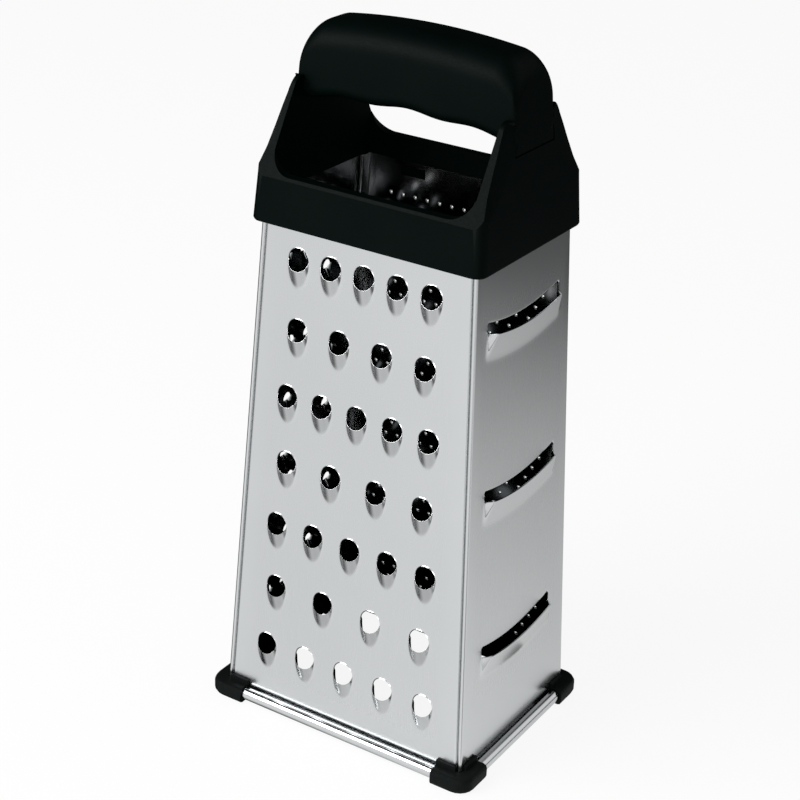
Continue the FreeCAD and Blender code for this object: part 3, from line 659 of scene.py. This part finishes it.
def slicer_form(face, teeth):
    """A slicing slot: a smile-shaped gap with a rolled upper edge, over a raised blade with closed ends."""
    sheet = face.steel.sheet
    thickness = face.thickness
    form = PunchedForm(thickness)
    # Sizes of the cut, its closed ends and its edges, in metres.
    end_wall = 0.0006
    end_rise = 0.0025
    margin = 0.0022
    corner = 0.0009
    sweep = 0.0022
    rim_round = 0.0003
    under_rim = 0.0009
    under_run = 0.0013
    # The blade's corner is drawn as a fan of columns with hardly any width.
    fan_step = 0.00004
    fan = 0.0003
    # Columns along half an edge, down the cut's end, up the blade's end and round a corner.
    steps = 20
    end_steps = 4
    rise_steps = 8
    corner_steps = 6
    out = teeth.slot_half_length + teeth.slot_end + sheet
    half = out - end_wall
    shoulder = half - end_rise
    lift = teeth.slot_lift

    def curve(x, down):
        """A point of the slot's curve at a place across it, a distance below the upper edge."""
        radius = teeth.slot_arc + down
        return Vector((x, teeth.slot_arc - math.sqrt(radius**2 - x**2), 0))

    def rise(height):
        """A step straight out of the face."""
        return Vector((0, 0, height))

    def rolled(rim, away, dip):
        """A column of the upper edge, which dips into the gap."""
        lip = rim - rise(dip)
        under_foot = rim + away * under_rim - rise(thickness)
        foot = rim + away * rim_round
        form.column(rim + away * margin, foot, lip, lip - rise(0.6 * thickness), under_foot)

    # The left half from the middle of the upper edge, round the closed end, to the middle of the blade.
    dip = 0.6 * sheet
    for number in range(steps):
        rolled(curve((corner - half) * number / steps, 0), Vector((0, 1, 0)), dip)
    bend = curve(corner - half, 0) - Vector((0, corner, 0))
    for u, v in arc(0, 0, 1, 90, 180, corner_steps):
        away = Vector((u, v, 0))
        rolled(bend + away * corner, away, dip * v)
    top = bend - Vector((corner, 0, 0))
    tip = curve(-shoulder, teeth.slot_opening)
    fall = teeth.slot_opening + teeth.slot_run
    turn = curve(sweep - out, fall) + Vector((0, sweep, 0))
    cut_end = Vector((-half, tip.y, 0))
    for number in range(1, end_steps + 1):
        rolled(top.lerp(cut_end, number / end_steps), Vector((-1, 0, 0)), 0.0)
    for number in range(1, rise_steps + 1):
        part = number / rise_steps
        lip = cut_end.lerp(tip, part) + rise(lift * part)
        spread = min(1.0, 2 * part)
        foot_x = -half - rim_round - (out - half - rim_round) * spread
        foot = Vector((foot_x, tip.y + (turn.y - tip.y) * part, 0))
        under_lip = lip + Vector((sheet * part, 0, -0.6 * thickness))
        under_foot = foot + Vector((end_wall + sheet * spread, 0, -thickness))
        form.column(foot - Vector((margin, 0, 0)), foot, lip, under_lip, under_foot)
    blade = tip + rise(lift)
    for number, (u, v) in enumerate(arc(0, 0, 1, 180, 270, corner_steps)[1:]):
        away = Vector((u, v, 0))
        foot = turn + away * sweep
        lip = blade + Vector((fan_step * (number + 1), 0, 0))
        under_lip = lip + Vector((sheet * (1 - number / (corner_steps - 1)), 0, -thickness))
        under_foot = foot - away * under_run - rise(thickness)
        form.column(foot + away * margin, foot, lip, under_lip, under_foot)
    for number in range(1, steps + 1):
        part = 1 - number / steps
        lip = curve((fan - shoulder) * part, teeth.slot_opening) + rise(lift)
        foot = curve((sweep - out) * part, fall)
        under_foot = foot + Vector((0, under_run, -thickness))
        form.column(foot - Vector((0, margin, 0)), foot, lip, lip - rise(thickness), under_foot)
    # The right half mirrors it.
    for column in form.columns[-2:0:-1]:
        form.columns.append([Vector((-point.x, point.y, point.z)) for point in column])
    return form


# What the nodes below read from other objects.
SHAPES = ("Places", "Form", "Form outline", "Face outline")


def punched_face_tree():
    """Geometry nodes that fill a flat face round punched forms, on both sides of the sheet, and stand it
    up."""
    tree = bpy.data.node_groups.new("Punched steel face", "GeometryNodeTree")
    sockets = [("Edges", "Geometry")] + [(name, "Object") for name in SHAPES]
    sockets += [("Sheet", "Float"), ("Foot", "Vector"), ("Tilt", "Float"), ("Steel", "Material")]
    for name, kind in sockets:
        tree.interface.new_socket(name, in_out="INPUT", socket_type="NodeSocket" + kind)
    tree.interface.new_socket("Face", in_out="OUTPUT", socket_type="NodeSocketGeometry")
    given = add(tree, "NodeGroupInput").outputs
    shapes = {}
    for name in SHAPES:
        shapes[name] = add(tree, "GeometryNodeObjectInfo", {"Object": given[name]}).outputs["Geometry"]
    points = add(tree, "GeometryNodeMeshToPoints", {"Mesh": shapes["Places"]})
    forms = add(tree, "GeometryNodeInstanceOnPoints", {"Points": points, "Instance": shapes["Form"]})
    forms = add(tree, "GeometryNodeRealizeInstances", {"Geometry": forms})
    holes = add(tree, "GeometryNodeInstanceOnPoints", {"Points": points, "Instance": shapes["Form outline"]})
    holes = add(tree, "GeometryNodeRealizeInstances", {"Geometry": holes})
    loops = add(tree, "GeometryNodeJoinGeometry", {"Geometry": [holes, shapes["Face outline"]]})
    curves = add(tree, "GeometryNodeMeshToCurve", {"Mesh": loops})
    outer = add(tree, "GeometryNodeFillCurve", {"Curve": curves})
    depth = add(tree, "ShaderNodeMath", {0: given["Sheet"], 1: -1.0}, operation="MULTIPLY")
    shift = add(tree, "ShaderNodeCombineXYZ", {"Z": depth})
    inner = add(tree, "GeometryNodeTransform", {"Geometry": outer, "Translation": shift})
    inner = add(tree, "GeometryNodeFlipFaces", {"Mesh": inner})
    # Only the outside is brushed. The inside keeps the skin of the rolling mill, with its colour darkened as
    # painted shade.
    skinned = {"Geometry": inner, "Name": "worked", "Value": MILL_SKIN_PAINTED_SHADE}
    inner = add(tree, "GeometryNodeStoreNamedAttribute", skinned, data_type="FLOAT", domain="POINT")
    flats = add(tree, "GeometryNodeJoinGeometry", {"Geometry": [outer, inner]})
    flats = add(tree, "GeometryNodeSetShadeSmooth", {"Geometry": flats, "Shade Smooth": False})
    punched = add(tree, "GeometryNodeJoinGeometry", {"Geometry": [flats, forms]})
    tilt = add(tree, "ShaderNodeCombineXYZ", {"X": given["Tilt"]})
    upright = {"Geometry": punched, "Translation": given["Foot"], "Rotation": tilt}
    stood = add(tree, "GeometryNodeTransform", upright)
    whole = add(tree, "GeometryNodeJoinGeometry", {"Geometry": [stood, given["Edges"]]})
    merged = add(tree, "GeometryNodeMergeByDistance", {"Geometry": whole, "Distance": WELD})
    real = add(tree, "GeometryNodeRealizeInstances", {"Geometry": merged})
    dressed = add(tree, "GeometryNodeSetMaterial", {"Geometry": real, "Material": given["Steel"]})
    add(tree, "NodeGroupOutput", {"Face": dressed})
    return tree


def new_object(context, name, data):
    """An object in the scene's own collection."""
    piece = bpy.data.objects.new(name, data)
    context.scene.collection.objects.link(piece)
    return piece


def frozen(context, piece):
    """The piece's evaluated mesh as a plain one, with its modifiers gone."""
    evaluated = piece.evaluated_get(context.evaluated_depsgraph_get())
    mesh = bpy.data.meshes.new_from_object(evaluated)
    piece.modifiers.clear()
    piece.data = mesh
    return mesh


def hand_over(piece, node):
    """The piece rides on the body and stands for a CAD node."""
    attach(piece, "root")
    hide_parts(node)


def steel_piece(context, name, node, face, meshes, places):
    """A steel face: its edges, with the punched forms at their places and the flat filled in round them."""
    piece = new_object(context, name, face.edges().mesh(name))
    place_mesh = bpy.data.meshes.new(name + " places")
    place_mesh.from_pydata([tuple(face.on_plan(x, z)) for x, z in places], [], [])
    face_outline = loop_mesh(name + " outline", face.outline_loops())
    shapes = zip(SHAPES, (place_mesh, *meshes, face_outline))
    helpers = {shape: new_object(context, name + " " + shape, mesh) for shape, mesh in shapes}
    values = dict(helpers)
    values["Sheet"] = face.thickness
    values["Foot"] = (0.0, -face.away(face.foot_z), face.foot_z)
    values["Tilt"] = math.pi / 2 - face.slope
    values["Steel"] = steel_material(context)
    tree = shared(bpy.data.node_groups, "Punched steel face", punched_face_tree)
    modifier = piece.modifiers.new("Punched steel face", "NODES")
    modifier.node_group = tree
    for item in tree.interface.items_tree:
        if item.name in values:
            modifier[item.identifier] = values[item.name]
    mesh = frozen(context, piece)
    mesh.transform(face.turn)
    for helper in helpers.values():
        bpy.data.objects.remove(helper)
    if not mesh.polygons:
        raise RuntimeError(name + " came out empty")
    hand_over(piece, node)


# Columns around a coarse and a medium tooth.
COARSE_AROUND = 36
MEDIUM_AROUND = 22
# Coarse teeth in the fuller rows. The rows between have one less.
COARSE_COUNT = 5
# Where the closer patterns stop, in metres: at the corners, over the hem's crease and under the collar.
FINE_MARGINS = (0.009, 0.0116, 0.0025)
MEDIUM_MARGINS = (0.0095, 0.015, 0.009)


def staggered(face, margins, pitch, row_pitch):
    """Rows that fill a face between its margins, every other row shifted by half a pitch."""
    corner, first, last = margins
    places = []
    rows = int((face.steel.flank_height - first - last) / row_pitch) + 1
    for row in range(rows):
        z = face.crease_z + first + row * row_pitch
        steps = int(2 * (face.across(z) - corner) / pitch)
        steps -= (steps + row) % 2
        places += [((number - steps / 2) * pitch, z) for number in range(steps + 1)]
    return places


class GRATER_OT_front_face(bpy.types.Operator):
    """Make the front face with its coarse teeth"""

    bl_idname = "grater.front_face"
    bl_label = "Front face"

    def execute(self, context):
        teeth = context.scene.grater_teeth
        face = SteelFace(context.scene.grater_steel, True, 0)
        form = tooth_form(face, teeth, teeth.coarse_radius, COARSE_AROUND, teeth.coarse_lift_share)
        places = []
        for row in range(teeth.coarse_rows):
            z = face.crease_z + teeth.coarse_first + row * teeth.coarse_pitch
            count = COARSE_COUNT - row % 2
            reach = face.across(z) - (teeth.coarse_inset if row % 2 else teeth.coarse_margin)
            places += [(reach * (2 * number / (count - 1) - 1), z) for number in range(count)]
        steel_piece(context, "coarse_face", "front_panel", face, form.meshes("Coarse tooth"), places)
        return {"FINISHED"}


class GRATER_OT_back_face(bpy.types.Operator):
    """Make the back face with its fine burrs"""

    bl_idname = "grater.back_face"
    bl_label = "Back face"

    def execute(self, context):
        teeth = context.scene.grater_teeth
        face = SteelFace(context.scene.grater_steel, True, 180)
        places = staggered(face, FINE_MARGINS, teeth.fine_pitch, teeth.fine_row_pitch)
        meshes = burr_meshes(face, teeth, "Fine burr")
        steel_piece(context, "fine_face", "back_panel", face, meshes, places)
        return {"FINISHED"}


class GRATER_OT_left_face(bpy.types.Operator):
    """Make the left face with its medium teeth"""

    bl_idname = "grater.left_face"
    bl_label = "Left face"

    def execute(self, context):
        teeth = context.scene.grater_teeth
        face = SteelFace(context.scene.grater_steel, False, -90)
        form = tooth_form(face, teeth, teeth.medium_radius, MEDIUM_AROUND)
        places = staggered(face, MEDIUM_MARGINS, teeth.medium_pitch, teeth.medium_row_pitch)
        steel_piece(context, "medium_face", "left_panel", face, form.meshes("Medium tooth"), places)
        return {"FINISHED"}


class GRATER_OT_right_face(bpy.types.Operator):
    """Make the right face with its slicing slots"""

    bl_idname = "grater.right_face"
    bl_label = "Right face"

    def execute(self, context):
        teeth = context.scene.grater_teeth
        face = SteelFace(context.scene.grater_steel, False, 90)
        form = slicer_form(face, teeth)
        first = face.crease_z + teeth.slot_first
        places = [(0.0, first + row * teeth.slot_pitch) for row in range(teeth.slot_count)]
        steel_piece(context, "slicing_face", "right_panel", face, form.meshes("Slicing slot"), places)
        return {"FINISHED"}


# Faces of a moulding that meet at less than the first angle are one flat. Its outer edges are rounded where
# faces meet at more than the second, if they are longer than so many widths of the round.
FLAT_ANGLE = math.radians(0.6)
CORNER_ANGLE = math.radians(28)
SHORTEST = 3


def softened_copy(context, name, node, edge_width, material):
    """A copy of a CAD solid, its triangles merged to flats and its outer edges rounded as a mould leaves
    them."""
    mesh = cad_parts[node].data.copy()
    mesh.name = name
    mesh.materials.clear()
    mesh.materials.append(material)
    with opened(mesh) as shape:
        bmesh.ops.remove_doubles(shape, verts=shape.verts, dist=WELD)
        bmesh.ops.dissolve_limit(
            shape, angle_limit=FLAT_ANGLE, verts=shape.verts, edges=shape.edges, delimit={"NORMAL"}
        )
        weights = shape.edges.layers.float.new("bevel_weight_edge")
        for edge in shape.edges:
            bent = len(edge.link_faces) == 2 and edge.calc_face_angle_signed(0) > CORNER_ANGLE
            edge[weights] = 1.0 if bent and edge.calc_length() > SHORTEST * edge_width else 0.0
    if mesh.has_custom_normals:
        mesh.attributes.remove(mesh.attributes["custom_normal"])
    mesh.shade_smooth()
    piece = new_object(context, name, mesh)
    bevel = piece.modifiers.new("Moulded edges", "BEVEL")
    bevel.limit_method = "WEIGHT"
    bevel.width = edge_width
    bevel.segments = 3
    bevel.use_clamp_overlap = True
    mark_sharp(frozen(context, piece), ROUNDED_SHARP)
    flats = piece.modifiers.new("Even flats", "WEIGHTED_NORMAL")
    flats.keep_sharp = True
    frozen(context, piece)
    return piece


class GRATER_OT_handle_frame(bpy.types.Operator):
    """Make the moulded collar with its two end plates"""

    bl_idname = "grater.handle_frame"
    bl_label = "Handle frame"

    def execute(self, context):
        width = context.scene.grater_handle.frame_edge
        piece = softened_copy(context, "moulded_collar", "handle_frame", width, handle_plastic(context))
        hand_over(piece, "handle_frame")
        return {"FINISHED"}


# Rings along the grip, and steps along its lower and upper rounds.
GRIP_STEPS = 96
BASE_STEPS = 8
TOP_STEPS = 12
# The soft edge of a leg, and how far the legs lie inside the bar's ends.
LEG_EDGE = 0.0004
LEG_INSET = 0.00003


def round_drop(radius, reach):
    """How far a round edge has fallen, a reach past where it starts."""
    past = max(0.0, reach)
    return radius - math.sqrt(max(0.0, radius**2 - past**2))


def grip_skin(sizes, top_z):
    """The bar of the grip as rings from end to end, and its two legs."""
    skin = Skin()
    half = sizes.grip_half_length
    base_z = top_z - sizes.grip_height
    shoulder_z = base_z + sizes.seat_drop
    arch = (half**2 + sizes.grip_crown**2) / (2 * sizes.grip_crown)

    def end_x(z):
        """Where the leaning end stands at a height."""
        return half - sizes.end_lean * (z - shoulder_z)

    def ring(x):
        """The bar's outline at a place along it."""
        drop = arch - math.sqrt(arch**2 - x**2)
        high = top_z - drop - round_drop(sizes.grip_end_round, abs(x) - half + sizes.grip_end_round)
        low = base_z - drop
        # Three finger hollows, each as long as the pitch.
        finger = abs((x / sizes.finger_pitch + 0.5) % 1.0 - 0.5)
        if abs(x) < 1.5 * sizes.finger_pitch:
            low += sizes.finger_depth * math.cos(math.pi * finger) ** 2
        plan_round = sizes.grip_plan_round
        side = sizes.grip_half_depth - round_drop(plan_round, abs(x) - half + plan_round)
        top_round = min(sizes.grip_top_round, 0.75 * side, 0.6 * (high - low))
        base_round = sizes.grip_base_round
        points = arc(side - base_round, low + base_round, base_round, -90, 0, BASE_STEPS)
        points += arc(side - top_round, high - top_round, top_round, 0, 90, TOP_STEPS)
        points += arc(-side + top_round, high - top_round, top_round, 90, 180, TOP_STEPS)
        points += arc(-side + base_round, low + base_round, base_round, 180, 270, BASE_STEPS)
        return [Vector((x * end_x(z) / half, y, z)) for y, z in points]

    shares = [2 * number / GRIP_STEPS - 1 for number in range(GRIP_STEPS + 1)]
    rings = [ring(half * math.sin(math.pi / 2 * share)) for share in shares]
    skin.rows(rings, closed=True)
    for end in (rings[0], rings[-1]):
        centre = sum(end, Vector()) / len(end)
        inner = [centre] * len(end)
        skin.rows([end, inner] if end is rings[-1] else [inner, end], closed=True, smooth=False)
    # Each level of a leg has an inset, a height and the half depth of its flat. Its corners are bevelled
    # with the end plates.
    leg_foot = base_z - sizes.leg_drop
    leg_top = base_z + sizes.grip_base_round
    deep = sizes.grip_half_depth
    levels = [
        (LEG_EDGE, leg_foot, deep - 2 * LEG_EDGE),
        (0.0, leg_foot + LEG_EDGE, deep - LEG_EDGE),
        (0.0, shoulder_z - sizes.neck_drop, sizes.neck_half),
        (0.0, leg_top, deep - LEG_EDGE),
    ]
    for side in (-1, 1):
        rows = []
        for inset, z, flat in levels:
            out = end_x(z) - inset - LEG_INSET
            back = end_x(z) - sizes.leg_thickness + inset
            wall = deep - inset
            corners = [(back, -wall), (out - LEG_EDGE, -wall), (out, -flat)]
            corners += [(out, flat), (out - LEG_EDGE, wall), (back, wall)]
            rows.append([Vector((side * x, y, z)) for x, y in corners])
        ends = [[sum(row, Vector()) / len(row)] * len(row) for row in (rows[0], rows[-1])]
        rows = [ends[0]] + rows + [ends[1]]
        skin.rows(rows if side > 0 else [row[::-1] for row in rows], closed=True, smooth=False)
    return skin


class GRATER_OT_grip(bpy.types.Operator):
    """Make the arched grip with its finger hollows and legs"""

    bl_idname = "grater.grip"
    bl_label = "Grip"

    def execute(self, context):
        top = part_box("grip")[1]
        mesh = grip_skin(context.scene.grater_handle, top.z).mesh("arched_grip", FORM_SHARP)
        # The poles of the bar's and legs' ends are many points in one place.
        with opened(mesh) as shape:
            bmesh.ops.remove_doubles(shape, verts=shape.verts, dist=WELD)
            bmesh.ops.dissolve_degenerate(shape, edges=shape.edges, dist=WELD / 2)
        mesh.materials.append(handle_plastic(context))
        piece = new_object(context, "arched_grip", mesh)
        hand_over(piece, "grip")
        return {"FINISHED"}


class GRATER_OT_feet(bpy.types.Operator):
    """Make the four moulded corner feet"""

    bl_idname = "grater.feet"
    bl_label = "Feet"

    def execute(self, context):
        plastic = foot_plastic(context)
        width = context.scene.grater_handle.foot_edge
        for corner in ("front_right", "front_left", "back_right", "back_left"):
            piece = softened_copy(context, "boot_" + corner, "foot_" + corner, width, plastic)
            hand_over(piece, "foot_" + corner)
        return {"FINISHED"}


def ray_kinds(tree):
    """Whether a ray comes from the camera, and whether it comes off something that shines."""
    path = add(tree, "ShaderNodeLightPath").outputs
    shining = {0: path["Is Glossy Ray"], 1: path["Is Transmission Ray"]}
    return path["Is Camera Ray"], add(tree, "ShaderNodeMath", shining, operation="MAXIMUM")


def floor_material(finishes):
    """Matt studio floor, shown as the photograph's white ground to the camera and in reflections, with a
    share of its own shading left in, so that the object's shadow stays. In reflections it also has a painted
    shadow under the grater and painted shade towards the back."""
    material, tree = new_material("Matt studio floor")
    camera, mirrored = ray_kinds(tree)
    place = add(tree, "ShaderNodeTexCoord").outputs["Object"]
    spot = add(tree, "ShaderNodeSeparateXYZ", {0: place}).outputs
    # Painted shadow: the ground under the grater, within these half sizes, is nearly black in reflections.
    past = []
    for axis, half in (("X", 0.05), ("Y", 0.037)):
        far = add(tree, "ShaderNodeMath", {0: spot[axis]}, operation="ABSOLUTE")
        past.append(add(tree, "ShaderNodeMath", {0: far, 1: half}, operation="GREATER_THAN"))
    clear = add(tree, "ShaderNodeMath", dict(enumerate(past)), operation="MAXIMUM")
    # Painted shade: in reflections the white ground on the right fades away to the back.
    fade = {"Value": spot["Y"], "From Min": -0.02, "From Max": 0.42, "To Min": 0.85, "To Max": 0.07}
    lit = add(tree, "ShaderNodeMapRange", fade)
    lit = add(tree, "ShaderNodeMath", {0: lit, 1: clear}, operation="MULTIPLY")
    shine = add(tree, "ShaderNodeMix", {"Factor": mirrored, "A": 1.0, "B": lit}, data_type="FLOAT")
    shades = {"Factor": shine, "A": linear(finishes.floor_painted_shade), "B": linear(finishes.floor)}
    tint = add(tree, "ShaderNodeMix", shades, data_type="RGBA")
    matt = add(tree, "ShaderNodeBsdfDiffuse", {"Color": tint})
    white = add(tree, "ShaderNodeEmission", {"Strength": 1.0})
    glow = add(tree, "ShaderNodeMath", {0: mirrored, 1: lit}, operation="MULTIPLY")
    seen = add(tree, "ShaderNodeMath", {0: camera, 1: glow}, operation="MAXIMUM")
    share = add(tree, "ShaderNodeMath", {0: seen, 1: 0.9}, operation="MULTIPLY")
    ground = add(tree, "ShaderNodeMixShader", {0: share, 1: matt, 2: white})
    # On the left and in front the ground gives way in reflections to the surround.
    gaps = []
    for axis, start, end in (("X", -0.03, 0.06), ("Y", -0.06, -0.03)):
        reach = {"Value": spot[axis], "From Min": start, "From Max": end, "To Min": 1.0, "To Max": 0.0}
        gaps.append(add(tree, "ShaderNodeMapRange", reach))
    gone = add(tree, "ShaderNodeMath", dict(enumerate(gaps)), operation="MAXIMUM")
    for mask in (clear, mirrored):
        gone = add(tree, "ShaderNodeMath", {0: gone, 1: mask}, operation="MULTIPLY")
    surround = add(tree, "ShaderNodeBsdfTransparent")
    whole = add(tree, "ShaderNodeMixShader", {0: gone, 1: ground, 2: surround})
    add(tree, "ShaderNodeOutputMaterial", {"Surface": whole})
    return material


def add_floor(context):
    """The studio floor, which is part of the stage."""
    mesh = bpy.data.meshes.new("studio_floor")
    reach = 4.0
    corners = [(-reach, -reach, 0), (reach, -reach, 0), (reach, reach, 0), (-reach, reach, 0)]
    mesh.from_pydata(corners, [], [(0, 1, 2, 3)])
    mesh.materials.append(floor_material(context.scene.grater_finishes))
    new_object(context, "studio_floor", mesh)


# Lights and darks of the surround in reflections: a direction, how far along it the change starts and ends,
# the light before and after, and how that joins the light so far.
SURROUND = (
    # The left and the far right are darker, so that the teeth show their round backs.
    ((1.0, -0.8, -0.2), (-0.35, 0.12), (0.35, 1.0), "MULTIPLY"),
    ((1.0, 0.3, 0.0), (0.3, 0.65), (1.0, 0.2), "MULTIPLY"),
    # Straight down it is a little darker, so the backs of the teeth stand out from the sheet.
    ((0.0, 0.0, -1.0), (0.56, 0.85), (1.0, 0.6), "MULTIPLY"),
    # A white card low on the right lights the near ends of the slots and the bead of the front seam.
    ((0.885, -0.41, -0.22), (0.94, 0.985), (0.0, 0.95), "MAXIMUM"),
    # A white backdrop stands behind on the right.
    ((0.6, 0.5, 0.62), (0.8, 0.92), (0.0, 0.9), "MAXIMUM"),
)
# How bright the surround is as a lamp, against what the camera sees.
SURROUND_LIGHT = 0.4


def white_surround():
    """A world that is white to the camera, and a studio with light and dark sides in reflections."""
    world = bpy.data.worlds.new("White surround")
    world.use_nodes = True
    tree = world.node_tree
    tree.nodes.clear()
    camera, mirrored = ray_kinds(tree)
    way = add(tree, "ShaderNodeTexCoord").outputs["Generated"]
    # In reflections the surround is white low down in front, and a dim room above and behind.
    front = add(tree, "ShaderNodeVectorMath", {0: way, 1: (0.0, -1.0, -0.6)}, operation="DOT_PRODUCT")
    fade = {"Value": front, "From Min": 0.1, "From Max": 0.9, "To Min": 0.05, "To Max": 1.0}
    room = add(tree, "ShaderNodeMapRange", fade, interpolation_type="SMOOTHSTEP")
    for direction, (start, end), (before, after), joined in SURROUND:
        part = add(tree, "ShaderNodeVectorMath", {0: way, 1: direction}, operation="DOT_PRODUCT")
        change = {"Value": part, "From Min": start, "From Max": end, "To Min": before, "To Max": after}
        light = add(tree, "ShaderNodeMapRange", change)
        room = add(tree, "ShaderNodeMath", {0: room, 1: light}, operation=joined)
    lamp = {"Factor": mirrored, "A": SURROUND_LIGHT, "B": room}
    dim = add(tree, "ShaderNodeMix", lamp, data_type="FLOAT")
    strength = add(tree, "ShaderNodeMix", {"Factor": camera, "A": dim, "B": 1.0}, data_type="FLOAT")
    white = (1.0, 1.0, 1.0, 1.0)
    sky = add(tree, "ShaderNodeBackground", {"Color": white, "Strength": strength})
    add(tree, "ShaderNodeOutputWorld", {"Surface": sky})
    return world


def soft_lamp(context, name, place, aim, size, power):
    """A rectangular soft box that faces a point."""
    lamp = bpy.data.lights.new(name, "AREA")
    lamp.shape = "RECTANGLE"
    lamp.size, lamp.size_y = size
    lamp.energy = power
    holder = new_object(context, name, lamp)
    holder.location = place
    holder.rotation_euler = (Vector(aim) - Vector(place)).to_track_quat("-Z", "Y").to_euler()


def photo_camera(context):
    """A camera that stands as the photograph's did."""
    camera = bpy.data.cameras.new("Camera")
    camera.sensor_width = 36.0
    camera.lens = camera.sensor_width * PHOTO_FOCAL / PHOTO_SIDE
    camera.clip_start = 0.01
    holder = new_object(context, "Camera", camera)
    stand = Matrix.Translation(CAMERA_PLACE)
    for axis, angle in (("Z", CAMERA_YAW), ("X", 90 - CAMERA_PITCH), ("Z", CAMERA_ROLL)):
        stand @= Matrix.Rotation(math.radians(angle), 4, axis)
    holder.matrix_world = stand
    return holder


class GRATER_OT_studio(bpy.types.Operator):
    """Make the floor, the soft boxes, the white surround and the camera"""

    bl_idname = "grater.studio"
    bl_label = "Studio"

    def execute(self, context):
        scene = context.scene
        add_floor(context)
        scene.world = white_surround()
        aim = (0.0, 0.0, 0.12)
        soft_lamp(context, "Key soft box", (-0.6, -0.85, 0.75), aim, (0.9, 0.7), 15.0)
        soft_lamp(context, "Fill strip", (0.5, -0.95, 0.4), aim, (0.16, 0.6), 2.0)
        scene.camera = photo_camera(context)
        scene.view_settings.view_transform = "Standard"
        return {"FINISHED"}


GROUPS = {
    "grater_steel": SteelSizes,
    "grater_teeth": ToothSizes,
    "grater_handle": HandleSizes,
    "grater_finishes": Finishes,
}

OPERATORS = (
    GRATER_OT_studio,
    GRATER_OT_front_face,
    GRATER_OT_right_face,
    GRATER_OT_back_face,
    GRATER_OT_left_face,
    GRATER_OT_handle_frame,
    GRATER_OT_grip,
    GRATER_OT_feet,
)


class GRATER_PT_sidebar(bpy.types.Panel):
    """Lists the pieces of the grater and their sizes"""

    bl_idname = "GRATER_PT_sidebar"
    bl_label = "Box grater"
    bl_space_type = "VIEW_3D"
    bl_region_type = "UI"
    bl_category = "Grater"

    def draw(self, context):
        for operator in OPERATORS:
            self.layout.operator(operator.bl_idname)
        for group in GROUPS:
            box = self.layout.box()
            settings = getattr(context.scene, group)
            for name in settings.__annotations__:
                box.prop(settings, name)


def register():
    for name, group in GROUPS.items():
        bpy.utils.register_class(group)
        setattr(bpy.types.Scene, name, PointerProperty(type=group))
    for kind in OPERATORS + (GRATER_PT_sidebar,):
        bpy.utils.register_class(kind)


def unregister():
    for kind in (GRATER_PT_sidebar,) + OPERATORS[::-1]:
        bpy.utils.unregister_class(kind)
    for name, group in GROUPS.items():
        delattr(bpy.types.Scene, name)
        bpy.utils.unregister_class(group)


def main():
    register()
    bpy.ops.grater.studio()
    bpy.ops.grater.front_face()
    bpy.ops.grater.right_face()
    bpy.ops.grater.back_face()
    bpy.ops.grater.left_face()
    bpy.ops.grater.handle_frame()
    bpy.ops.grater.grip()
    bpy.ops.grater.feet()


if __name__ == "__main__":
    main()
